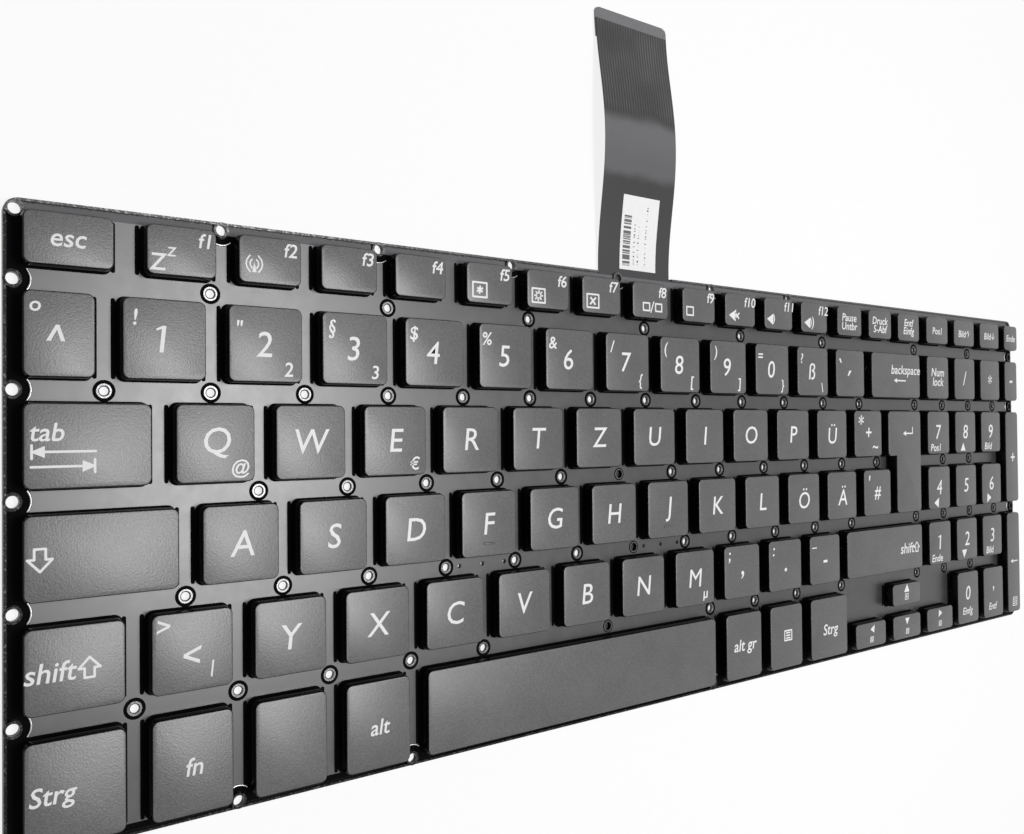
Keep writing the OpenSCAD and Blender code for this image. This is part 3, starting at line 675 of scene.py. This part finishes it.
def cap_at(u, v, wide, deep):
    """A cap at its place: the first of its size is modelled, and the others are copies."""
    size = (round(wide * PITCH_X, 3), round(deep * PITCH_Y, 3))
    if size not in first_caps:
        first_caps[size] = block_cap(*size)
    return twin(first_caps[size], (px(u), py(v), 0))


def homing_bar(u, v, wide, deep):
    """The small ridge on the two keys that the fingers find by touch."""
    place = (px(u + wide / 2), py(v + 0.8 * deep), (CAP_TOP + BAR_TOP) / 2)
    bar = cuboid(place, (BAR_LENGTH, BAR_WIDTH, BAR_TOP - CAP_TOP))
    bpy.ops.object.mode_set(mode="EDIT")
    pick(bar, lambda e: any(v.co.z > (CAP_TOP + NEAR) * MM for v in e.verts), "EDGE")
    bpy.ops.mesh.bevel(offset=BAR_ROUND * MM, segments=EDGE_STEPS, affect="EDGES")
    bpy.ops.object.mode_set(mode="OBJECT")
    coat(bar, cap_coat)
    return smoothed(bar, MOULDED_SMOOTH)


def clean_copy(node):
    """A copy of a CAD node's mesh with its loose triangles merged, ready for modelling."""
    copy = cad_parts[node].copy()
    copy.data = copy.data.copy()
    copy.parent = None
    for key in list(copy.keys()):
        del copy[key]
    bpy.context.scene.collection.objects.link(copy)
    copy.hide_render = copy.hide_viewport = False
    choose(copy)
    bpy.ops.object.mode_set(mode="EDIT")
    bpy.ops.mesh.select_all(action="SELECT")
    bpy.ops.mesh.remove_doubles(threshold=THINNEST * MM)
    bpy.ops.object.mode_set(mode="OBJECT")
    return copy


def clips():
    """The two clips below the Q cap that the linkage turns and slides in, cut from its solid."""
    piece = clean_copy("key_q")
    piece.name = "q_clips"
    bpy.ops.object.mode_set(mode="EDIT")
    bpy.ops.mesh.select_all(action="SELECT")
    bpy.ops.mesh.bisect(plane_co=(0, 0, (CAP_TOP - CAP_ROOF - NEAR) * MM), plane_no=(0, 0, 1),
                        clear_outer=True, use_fill=True)
    bpy.ops.mesh.select_all(action="DESELECT")
    u, v, wide, deep = MOVING["q"]
    inset = (CAP_WALL + CLIP_ROOM) * MM
    low = Vector((px(u), py(v + deep))) * MM
    high = Vector((px(u + wide), py(v))) * MM
    shape = bmesh.from_edit_mesh(piece.data)
    for vert in shape.verts:
        x, y, _ = vert.co
        inside = low.x + inset < x < high.x - inset and low.y + inset < y < high.y - inset
        vert.select_set(not inside)
    bmesh.update_edit_mesh(piece.data)
    bpy.ops.mesh.delete(type="VERT")
    bpy.ops.object.mode_set(mode="OBJECT")
    coat(piece, cap_flank)
    return piece


for key, place in MOVING.items():
    parts = [cap_at(*place)]
    if key in ("f", "j"):
        parts.append(homing_bar(*place))
    if key == "q":
        parts.append(clips())
    carry(joined(parts, f"cap_{key}"), f"key_{key}", "cap_plastic", f"key_{key}")

enter = stepped_cap(ENTER_W * PITCH_X, (1 + LETTER_D) * PITCH_Y, ENTER_STEP * PITCH_X,
                    LETTER_D * PITCH_Y)
enter.location = Vector((px(ENTER_LEFT), py(1), 0)) * MM
settle(enter)
carry(joined([enter], "cap_enter"), "key_enter", "cap_plastic", "key_enter")

for name, row in ROWS.items():
    caps = joined([cap_at(*place) for place in row], f"caps_{name}")
    carry(caps, "base", "cap_plastic", f"{name}_keys")
for cap in first_caps.values():
    bpy.data.objects.remove(cap)


# Printed legends
def printed(text, u, v, height):
    """A legend in ink, centred at u, v, with capitals of this height in millimetres."""
    is_word = text[:1].isalpha() and len(text) > 1
    bpy.ops.object.select_all(action="DESELECT")
    bpy.ops.object.text_add(location=(0, 0, 0))
    letters = bpy.context.object
    letters.data.body = text
    letters.data.size = height / CAPITAL_SHARE
    letters.data.shear = WORD_SLANT if is_word else SLANT
    letters.data.offset = WORD_WEIGHT if height < BIG else WEIGHT
    if text in "MQ":
        letters.data.offset = 0
    letters.data.align_x = "CENTER"
    letters.data.align_y = "CENTER"
    letters.data.resolution_u = TEXT_STEPS
    letters.data.space_line = WORD_LINES
    letters.data.extrude = (INK_TOP - INK_FOOT) / 2
    bpy.ops.object.convert(target="MESH")
    low = [min(v.co[i] for v in letters.data.vertices) for i in range(2)]
    high = [max(v.co[i] for v in letters.data.vertices) for i in range(2)]
    letters.scale = (MM, MM, MM)
    letters.location = Vector((px(u) - (low[0] + high[0]) / 2, py(v) - (low[1] + high[1]) / 2,
                               (INK_TOP + INK_FOOT) / 2)) * MM
    settle(letters)
    coat(letters, ink)
    return letters


# Each group: a text, its middle in key steps, and the height of its capitals.
PRINTS = {"function_row": [("esc", -0.45, -0.455, WORD)],
          "number_row": [("o", -0.725, 0.15, 2.4), ("^", -0.56, 0.38, 4.7)],
          "bottom_row": [("Strg", -0.586, 4.51, WORD), ("fn", 0.656, 4.5, WORD),
                         ("alt", 2.663, 4.51, WORD), ("alt gr", 8.7, 4.5, WORD),
                         ("Strg", 10.77, 4.54, WORD),
                         ("◄", 11.92, 4.67, 1.8), ("▤", 11.9, 4.84, 1.6),
                         ("▼", 12.97, 4.67, 1.8), ("▤", 12.97, 4.84, 1.6),
                         ("▲", 12.96, 4.09, 2.2), ("▣", 12.96, 4.24, 1.8),
                         ("►", 14.04, 4.66, 1.8), ("▤", 14.03, 4.84, 1.6)],
          "numpad": []}
LABEL_V = -0.59
LABEL_U = (0.775, 1.66, 2.55, 3.44, 4.39, 5.28, 6.16, 7.06, 8.03, 8.89, 9.81, 10.68)
PRINTS["function_row"] += [(f"f{k + 1}", u, LABEL_V, 2.6) for k, u in enumerate(LABEL_U)]
PRINTS["function_row"] += [("Z", 0.33, -0.35, 3.0), ("Z", 0.455, -0.455, 1.6),
                           ("✱", 4.02, -0.385, 1.7), ("☼", 4.9, -0.385, 2.1),
                           ("×", 5.79, -0.385, 3.2),
                           ("◄", 8.5, -0.38, 2.4), ("×", 8.6, -0.38, 3.0),
                           ("◄", 9.36, -0.38, 2.4), (")", 9.44, -0.38, 2.0),
                           ("◄", 10.27, -0.38, 2.4), (")", 10.35, -0.38, 2.0),
                           (")", 10.4, -0.38, 2.8), ("/", 6.86, -0.38, 2.8)]
WORDS_U = [END_U + END_STEP * k + 0.34 for k in range(3)] + [u + PAD_MIDDLE for u in PAD_U[:3]] + [16.79]
END_WORDS = ("Pause\nUntbr", "Druck\nS-Abf", "Entf\nEinfg", "Pos1", "Bild↑", "Bild↓", "Ende")
PRINTS["function_row"] += [(word, u, -0.46, 2.3) for word, u in zip(END_WORDS, WORDS_U)]

DIGITS = "1234567890ß´"
SHIFTED = "!\"§$%&/()=?`"
THIRD = {1: "2", 2: "3", 6: "{", 7: "[", 8: "]", 9: "}", 10: "\\"}
for k in range(12):
    tall = 7.5 if k == 11 else BIG
    PRINTS["number_row"].append((DIGITS[k], k + 0.37, 0.39, tall))
    PRINTS["number_row"].append((SHIFTED[k], k + 0.12, 0.19, 6.0 if k == 11 else 2.8))
    if k in THIRD:
        PRINTS["number_row"].append((THIRD[k], k + 0.63, 0.64, 2.7))
PRINTS["number_row"] += [("backspace", 13.03, 0.31, 2.9)]

for names, signs, across, down in (
    ("q w e r t z u i o p u_umlaut", "QWERTZUIOPÜ", 0.405, 0.385),
    ("a s d f g h j k l o_umlaut a_umlaut", "ASDFGHJKLÖÄ", 0.4, 0.39),
    ("y x c v b n m", "YXCVBNM", 0.4, 0.39),
):
    for key, sign in zip(names.split(), signs):
        u, v, _, _ = MOVING[key]
        PRINTS[key] = [(sign, u + across, v + down, BIG)]
PRINTS["q"].append(("@", 1.12, 1.645, 2.5))
PRINTS["e"].append(("€", 3.12, 1.645, 2.5))
PRINTS["m"].append(("µ", 7.85, 3.66, 2.7))
PRINTS["plus"] = [("*", 11.68, 1.16, 4.6), ("+", 11.89, 1.37, 4.2), ("~", 12.08, 1.62, 3.8)]
PRINTS["hash"] = [("'", 11.9, 2.14, 4.2), ("#", 12.13, 2.4, 4.0)]
PRINTS["tab"] = [("tab", -0.63, 1.267, 3.0)]
PRINTS["left_shift"] = [("shift", -0.605, 3.4, 3.3)]
PRINTS["right_shift"] = [("shift", 13.01, 3.4, 3.3)]
PRINTS["angle_bracket"] = [(">", 0.366, 3.123, 3.2), ("<", 0.637, 3.428, 4.4),
                           ("|", 0.83, 3.583, 2.2)]
PRINTS["comma"] = [(";", 8.372, 3.17, 3.4), (",", 8.652, 3.44, 6.0)]
PRINTS["period"] = [(":", 9.372, 3.17, 3.4), (".", 9.652, 3.46, 6.0)]
PRINTS["minus"] = [("_", 10.372, 3.19, 3.0), ("-", 10.652, 3.42, 5.4)]

PAD_SIGNS = (("Num\nlock", "/", "*"), ("7", "8", "9"), ("4", "5", "6"), ("1", "2", "3"))
PAD_SMALL = {(1, 0): "Pos1", (1, 1): "▲", (1, 2): "Bild", (2, 0): "◄", (2, 2): "►",
             (3, 0): "Ende", (3, 1): "▼", (3, 2): "Bild"}
for row, signs in enumerate(PAD_SIGNS):
    for column, sign in enumerate(signs):
        height = 2.8 if row == 0 and column == 0 else BIG
        u = PAD_U[column] + PAD_MIDDLE
        PRINTS["numpad"].append((sign, u, row + 0.38, height))
        if (row, column) in PAD_SMALL:
            PRINTS["numpad"].append((PAD_SMALL[row, column], u - 0.1, row + 0.66, 2.4))
PRINTS["numpad"] += [("-", 16.78, 0.4, 6.0), ("+", 16.8, 1.9, 4.4), ("0", 15.02, 4.4, BIG),
                     ("Einfg", 15.0, 4.75, 2.4), (",", 15.96, 4.42, 5.0),
                     ("Entf", 15.94, 4.75, 2.4), ("▤", 16.8, 4.76, 3.0)]


def stroke(a, b, lift, width=LINE):
    """A straight inked line with round ends, between two points, lift above the others, in mm."""
    along = Vector(b) - Vector(a)
    line = cuboid(((a[0] + b[0]) / 2, (a[1] + b[1]) / 2, (INK_TOP + INK_FOOT) / 2 + lift),
                  (along.length + width, width, INK_TOP - INK_FOOT), math.atan2(along.y, along.x))
    bpy.ops.object.mode_set(mode="EDIT")
    pick(line, is_corner, "EDGE")
    bpy.ops.mesh.bevel(offset=width * STROKE_ROUND * MM, segments=2, affect="EDGES")
    bpy.ops.object.mode_set(mode="OBJECT")
    coat(line, ink)
    return line


def head(u, v, turn, long=HEAD_LONG, wide=HEAD_WIDE):
    """A solid arrow head whose middle is at u, v, and whose tip points along the turn in degrees."""
    bpy.ops.object.select_all(action="DESELECT")
    bpy.ops.mesh.primitive_cylinder_add(vertices=3, radius=1, depth=1)
    made = bpy.context.object
    made.rotation_euler.z = math.radians(-90)
    settle(made)
    made.scale = (long / 1.5 * MM, wide / math.sqrt(3) * MM, (INK_TOP - INK_FOOT) * MM)
    settle(made)
    made.rotation_euler.z = math.radians(turn)
    made.location = Vector((px(u), py(v), (INK_TOP + INK_FOOT) / 2 + HEAD_LIFT)) * MM
    coat(made, ink)
    return settle(made)


def drawn(u, v, path, closed=False, scale=1.0, width=LINE):
    """Strokes along a path of points, in millimetres round the place u, v, each just over the last."""
    points = [(px(u) + x * scale, py(v) + y * scale) for x, y in path]
    if closed:
        points.append(points[0])
    return [stroke(a, b, STROKE_LIFT * (k + 1), width)
            for k, (a, b) in enumerate(zip(points, points[1:]))]


UP_ARROW = ((-0.8, -1.7), (0.8, -1.7), (0.8, -0.1), (1.75, -0.1), (0, 1.75), (-1.75, -0.1),
            (-0.8, -0.1))
DOWN_ARROW = tuple((x * 1.1, -y * 1.1) for x, y in UP_ARROW)
BOX = ((-1.4, -1.2), (1.4, -1.2), (1.4, 1.2), (-1.4, 1.2))
WAVE = ((0.5, 0.9), (0.85, 0.45), (0.95, 0), (0.85, -0.45), (0.5, -0.9))
ACROSS = ((-5.2, 0), (5.2, 0))
UPRIGHT = ((0, -1.1), (0, 1.1))
DASH = ((-0.8, 0), (0.8, 0))
FLAG = ((-0.95, 1.75), (0.2, 2.25))
# Each group: the middle in key steps, a path in millimetres, whether it closes, and its scale.
DRAWN = {
    "tab": [(-0.48, 1.443, ACROSS, False, 0.92), (-0.755, 1.443, UPRIGHT, False, 1),
            (-0.51, 1.576, ACROSS, False, 0.92), (-0.235, 1.576, UPRIGHT, False, 1)],
    "caps_lock": [(-0.69, 2.4, DOWN_ARROW, True, 1)],
    "left_shift": [(-0.285, 3.4, UP_ARROW, True, 1)],
    "right_shift": [(13.3, 3.4, UP_ARROW, True, 0.9)],
    "enter": [(13.1, 1.37, ((-2.4, -0.5), (2.2, -0.5), (2.2, 1.5)), False, 1)],
    "number_row": [(12.88, 0.475, ((-3.2, 0), (2.6, 0)), False, 1), (0.37, 0.39, FLAG, False, 1)],
    "numpad": [(16.8, 3.96, ((-1.9, 0), (2.2, 0)), False, 1),
               (PAD_U[0] + PAD_MIDDLE, 3.38, FLAG, False, 1)],
    "bottom_row": [(9.69, 4.47, BOX, True, 1.15), (9.69, 4.43, DASH, False, 1),
                   (9.69, 4.47, DASH, False, 1), (9.69, 4.51, DASH, False, 1)],
    "function_row": [(4.02, -0.385, BOX, True, 1.35), (4.9, -0.385, BOX, True, 1.35),
                     (5.79, -0.385, BOX, True, 1.35),
                     (6.75, -0.38, BOX, True, 0.8), (6.98, -0.38, BOX, True, 0.8),
                     (7.6, -0.38, BOX, True, 0.9),
                     *[(1.27, -0.42, tuple((side * x, y) for x, y in WAVE), False, scale, FINE)
                       for side in (-1, 1) for scale in (0.9, 1.7)]],
}
# Solid arrow heads: the middle in key steps, and the way the tip points, in degrees.
HEADS = {"function_row": [(1.27, -0.37, 90, 2.0, 0.9)],
         "tab": [(-0.69, 1.443, 180), (-0.3, 1.576, 0)],
         "enter": [(12.98, 1.3965, 180, 1.8, 1.7)],
         "number_row": [(12.72, 0.475, 180, 1.8, 1.6)],
         "numpad": [(16.71, 3.96, 180, 1.8, 1.6)]}

for name in [*PRINTS, "caps_lock", "enter"]:
    body = "base" if name in ROWS else f"key_{name}"
    marks = [printed(*p) for p in PRINTS.get(name, ())]
    marks += [head(*p) for p in HEADS.get(name, ())]
    for path in DRAWN.get(name, ()):
        marks += drawn(*path)
    carry(joined(marks, f"print_{name}"), body, "cap_plastic")


# Domes, linkages and wires
def middle(piece):
    """The middle of a piece's box, in metres."""
    points = [v.co for v in piece.data.vertices]
    return [(min(p[i] for p in points) + max(p[i] for p in points)) / 2 for i in range(3)]


def key_over(piece):
    """The moving key that a piece lies under, or None."""
    x, y, _ = middle(piece)
    for key in [*MOVING, "enter"]:
        low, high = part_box(f"key_{key}")
        if low.x < x < high.x and low.y < y < high.y:
            return key
    return None


def foldable(node, name, material, slot):
    """Parts of a CAD node, sorted and joined by the key above them."""
    whole = clean_copy(node)
    coat(whole, material)
    smoothed(whole, LINKAGE_SMOOTH)
    bpy.ops.object.mode_set(mode="EDIT")
    bpy.ops.mesh.select_all(action="SELECT")
    bpy.ops.mesh.separate(type="LOOSE")
    bpy.ops.object.mode_set(mode="OBJECT")
    groups = {}
    for part in list(bpy.context.selected_objects):
        groups.setdefault(key_over(part), []).append(part)
    for key, parts in groups.items():
        piece = joined(parts, f"{name}_{key or 'still'}")
        carry(piece, "base", slot, node)
        if key:
            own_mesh(piece)


foldable("rubber_domes", "dome", rubber, "dome_rubber")
foldable("scissor_outer_frames", "outer_frame", acetal, "frame_plastic")
foldable("scissor_inner_frames", "inner_frame", acetal, "frame_plastic")
foldable("stabiliser_wires", "wire", wire_steel, "wire")


# Thin trim round the posts and beside the caps, with black rings and strips of painted shade
FIELD_POSTS = (
    (-0.105, (0.884, 2.884, 4.875, 6.875, 8.87, 10.88, 13.585, 15.43)),
    (0.885, tuple(k + 0.885 for k in range(-1, 12)) + (13.585, 14.51, 15.44, 16.36)),
    (1.885, tuple(k + 0.375 for k in (1, 2, 3, 4, 5, 7, 8, 9, 10, 11, 12)) + (14.51, 15.44)),
    (2.885, tuple(k + 0.63 for k in (0, 1, 2, 3, 4, 5, 7, 8, 9, 10, 11))
     + (13.585, 14.51, 15.44, 16.36)),
    (3.895, (0.15, 1.15, 2.15, 3.15, 4.15, 8.14, 9.13, 10.14, 11.32, 13.585, 14.5, 15.43)),
)


def ring():
    """A flat black ring round a post: the black membrane in the gap by the collar, widened over the
    sheet as painted shade of that recess.
    """
    bpy.ops.object.select_all(action="DESELECT")
    bpy.ops.mesh.primitive_circle_add(vertices=ROUND_SIDES, radius=RING_INSIDE * MM,
                                      location=(0, 0, COVER_TOP * MM))
    made = bpy.context.object
    bpy.ops.object.mode_set(mode="EDIT")
    bpy.ops.mesh.select_all(action="SELECT")
    share = RING_OUTSIDE / RING_INSIDE
    bpy.ops.mesh.extrude_edges_move()
    bpy.ops.transform.resize(value=(share, share, 1))
    bpy.ops.mesh.select_all(action="SELECT")
    bpy.ops.mesh.extrude_region_move(
        TRANSFORM_OT_translate={"value": (0, 0, (RING_TOP - COVER_TOP) * MM)})
    bpy.ops.mesh.select_all(action="SELECT")
    bpy.ops.mesh.normals_make_consistent(inside=False)
    bpy.ops.object.mode_set(mode="OBJECT")
    coat(made, black_membrane_and_shade)
    return settle(made)


def bead():
    """The rolled edge inside a post's hole, bright where the light catches it."""
    bpy.ops.object.select_all(action="DESELECT")
    bpy.ops.mesh.primitive_torus_add(major_radius=BEAD_MIDDLE * MM, minor_radius=BEAD_THICK * MM,
                                     major_segments=ROUND_SIDES, minor_segments=8,
                                     location=(0, 0, BEAD_HEIGHT * MM))
    made = bpy.context.object
    bpy.ops.object.mode_set(mode="EDIT")
    pick(made, lambda f: f.calc_center_median().z < (BEAD_HEIGHT - 0.7 * BEAD_THICK) * MM)
    bpy.ops.transform.translate(value=(0, 0, -BEAD_SKIRT * MM))
    bpy.ops.object.mode_set(mode="OBJECT")
    coat(made, rolled_steel)
    return settle(smoothed(made, ROUND_SMOOTH))


for name, first, slot in (("post_beads", bead(), "plate"),
                          ("post_membrane_and_shade_rings", ring(), "membrane_black")):
    copies = [twin(first, (px(u), py(v), 0)) for v, row in FIELD_POSTS for u in row]
    bpy.data.objects.remove(first)
    carry(joined(copies, name), "base", slot)


def shade_strip(x, y_rear, y_front):
    """A flat black strip beside a cap, painted shade of its side and the gap below it."""
    made = cuboid((x, (y_rear + y_front) / 2, (COVER_TOP + STRIP_TOP) / 2),
                  (STRIP_WIDTH, y_rear - y_front, STRIP_TOP - COVER_TOP))
    bpy.ops.object.mode_set(mode="EDIT")
    pick(made, is_corner, "EDGE")
    bpy.ops.mesh.bevel(offset=STRIP_CORNER * MM, segments=4, affect="EDGES")
    bpy.ops.object.mode_set(mode="OBJECT")
    coat(made, black_membrane_and_shade)
    return made


# Painted shade: a black strip on the sheet at each side of every cap.
strips = []
for u, v, wide, deep in sum(ROWS.values(), []) + list(MOVING.values()):
    for x in (px(u) - STRIP_OUT, px(u + wide) + STRIP_RIGHT):
        if abs(x) < STRIP_LIMIT:
            strips.append(shade_strip(x, py(v) - STRIP_IN, py(v + deep) + STRIP_IN))
# The enter cap has two strips at its left, one on each side of its step, and one at its right.
for x, rear, front in (
    (px(ENTER_LEFT) - STRIP_OUT, 1, 1 + LETTER_D),
    (px(ENTER_LEFT + ENTER_STEP) - STRIP_OUT, 1 + LETTER_D, 2 + LETTER_D),
    (px(ENTER_LEFT + ENTER_STEP + ENTER_W) + STRIP_RIGHT, 1, 2 + LETTER_D),
):
    strips.append(shade_strip(x, py(rear) - STRIP_IN, py(front) + STRIP_IN))
carry(joined(strips, "painted_shade_strips"), "base", "membrane_black")


def rim(x, y, towards):
    """The sheet's turned-up rim round an edge post: a bead on a half circle, facing inwards."""
    bpy.ops.object.select_all(action="DESELECT")
    bpy.ops.mesh.primitive_circle_add(vertices=RIM_SIDES, radius=RIM_BEAD * MM, fill_type="NGON",
                                      location=(BAY_RADIUS * MM, 0, 0),
                                      rotation=(math.pi / 2, 0, 0))
    made = settle(bpy.context.object)
    bpy.ops.object.mode_set(mode="EDIT")
    bpy.ops.mesh.select_all(action="SELECT")
    bpy.ops.mesh.spin(steps=RIM_STEPS, angle=math.radians(RIM_ANGLE), center=(0, 0, 0),
                      axis=(0, 0, 1))
    bpy.ops.mesh.select_all(action="SELECT")
    bpy.ops.mesh.normals_make_consistent(inside=False)
    bpy.ops.object.mode_set(mode="OBJECT")
    low = min(math.atan2(v.co.y, v.co.x) for v in made.data.vertices)
    high = max(math.atan2(v.co.y, v.co.x) for v in made.data.vertices)
    made.rotation_euler.z = math.radians(towards) - (low + high) / 2
    made.location = Vector((x, y, COVER_TOP)) * MM
    # Painted highlight: the rim is coloured light, unlike the grey sheet it belongs to.
    coat(made, rim_highlight_finish)
    return smoothed(settle(made), ROUND_SMOOTH)


rims = [rim(-EDGE_X, py(v), 0) for v in (-0.105, 0.885, 1.885, 2.885, 3.885)]
rims += [rim(EDGE_X, py(v), 180) for v in (-0.105, 0.885, 2.885)]
rims += [rim(px(u), EDGE_Y, -90) for u in (0.996, 2.77, 4.61, 6.385, 8.23, 10.0)]
rims += [rim(px(u), -EDGE_Y, 90) for u in (1.147, 3.155, 8.17)]
carry(joined(rims, "cover_rims"), "base", "cover")


# Flat cable
def arch(y):
    """The height of the cable's underside at y, both in millimetres."""
    share = max(0.0, (y - CABLE_START) / CABLE_REACH)
    return CABLE_FOOT - CABLE_FALL * share + CABLE_RISE * (1 - math.cos(2 * math.pi * share)) / 2


def strip(name, wide, shift, y_from, y_to, lift, thick, steps, corner=0.0):
    """A strip that follows the cable's arch, lift above its underside, with rounded far corners."""
    bpy.ops.object.select_all(action="DESELECT")
    bpy.ops.mesh.primitive_grid_add(x_subdivisions=CABLE_COLUMNS, y_subdivisions=steps, size=1)
    made = bpy.context.object
    made.name = name
    for vert in made.data.vertices:
        x = vert.co.x * wide
        y = y_from + (vert.co.y + 0.5) * (y_to - y_from)
        over = max(0.0, corner - (y_to - y))
        if corner and over > 0:
            x *= (wide / 2 - corner + math.sqrt(max(0.0, corner ** 2 - over ** 2))) / (wide / 2)
        vert.co = Vector((CABLE_X + shift + x, y, arch(y) + lift)) * MM
    choose(made)
    wall = made.modifiers.new("thickness", "SOLIDIFY")
    wall.thickness = thick * MM
    wall.offset = 1.0
    bpy.ops.object.modifier_apply(modifier="thickness")
    return smoothed(made, MOULDED_SMOOTH)


STIFF_FROM = CABLE_START + CABLE_REACH * (1 - TIP_FROM)
CABLE_END = CABLE_START + CABLE_REACH * (1 - STRIP_TO)
TIP_END = CABLE_START + CABLE_REACH
cable = strip("cable_strip", CABLE_WIDTH, 0, CABLE_ROOT, CABLE_END, 0, CABLE_THICK,
              CABLE_STEPS)
coat(cable, cable_film)
carry(cable, "base", "cable", "flat_cable")
stiffener = strip("cable_tip", STIFFENER_WIDTH, 0, STIFF_FROM, TIP_END, -STIFFENER_THICK,
                  STIFFENER_THICK, TIP_STEPS, corner=TIP_CORNER)
coat(stiffener, stiffener_board)
carry(stiffener, "base", "stiffener", "cable_stiffener")
label = strip("cable_sticker", LABEL_WIDTH, LABEL_SHIFT, CABLE_START + LABEL_FROM * CABLE_REACH,
              CABLE_START + LABEL_TO * CABLE_REACH, CABLE_THICK, LABEL_THICK, LABEL_STEPS)
coat(label, paper)
carry(label, "base", "label", "cable_label")

# Studio
def looks(tree):
    """A socket that is 1 for rays from the camera, from a mirror or through glass, and else 0."""
    path = add(tree, "ShaderNodeLightPath").outputs
    looking = add(tree, "ShaderNodeMath", {"operation": "MAXIMUM"},
                  {0: path["Is Camera Ray"], 1: path["Is Glossy Ray"]})
    looking = add(tree, "ShaderNodeMath", {"operation": "MAXIMUM"},
                  {0: looking.outputs[0], 1: path["Is Transmission Ray"]})
    return looking.outputs[0]


bpy.ops.object.select_all(action="DESELECT")
bpy.ops.mesh.primitive_plane_add(size=FLOOR_SIZE, location=(0, 0, -FLOOR_DROP * MM))
floor = bpy.context.object
floor.name = "studio_floor"
# Plain white paper: the eye sees it almost white, and it still takes the keyboard's soft shadow.
floor_paper, tree, place = blank("white seamless paper")
share = add(tree, "ShaderNodeMath", {"operation": "MULTIPLY"},
            {0: looks(tree), 1: FLOOR_WHITE})
fibre = add(tree, "ShaderNodeTexNoise", inputs={"Vector": place, "Scale": 1 / (2 * MM)})
shade = add(tree, "ShaderNodeValToRGB", inputs={"Fac": fibre.outputs["Fac"]},
            stops=[(0.3, "#f2f2f2"), (0.7, "#f7f7f7")])
matt = add(tree, "ShaderNodeBsdfDiffuse", inputs={"Color": shade.outputs["Color"]})
glow = add(tree, "ShaderNodeEmission", inputs={"Color": linear("#ffffff"), "Strength": 1.0})
both = add(tree, "ShaderNodeMixShader",
           inputs={0: share.outputs[0], 1: matt.outputs[0], 2: glow.outputs[0]})
add(tree, "ShaderNodeOutputMaterial", inputs={"Surface": both.outputs[0]})
coat(floor, floor_paper)

softbox_data = bpy.data.lights.new("softbox", "AREA")
softbox_data.shape = "RECTANGLE"
softbox_data.size = SOFTBOX_WIDE
softbox_data.size_y = SOFTBOX_DEEP
softbox_data.energy = SOFTBOX_WATTS
softbox = bpy.data.objects.new("softbox", softbox_data)
softbox.location = SOFTBOX_PLACE
bpy.context.scene.collection.objects.link(softbox)

world = bpy.data.worlds.new("studio")
bpy.context.scene.world = world
world.use_nodes = True
tree = world.node_tree
tree.nodes.clear()
around = add(tree, "ShaderNodeBackground",
             inputs={"Color": linear("#ffffff"), "Strength": WORLD_LIGHT})
behind = add(tree, "ShaderNodeBackground", inputs={"Color": linear("#ffffff"), "Strength": 1.0})
pair = add(tree, "ShaderNodeMixShader",
           inputs={0: looks(tree), 1: around.outputs[0], 2: behind.outputs[0]})
add(tree, "ShaderNodeOutputWorld", inputs={"Surface": pair.outputs[0]})
bpy.context.scene.view_settings.view_transform = "Standard"
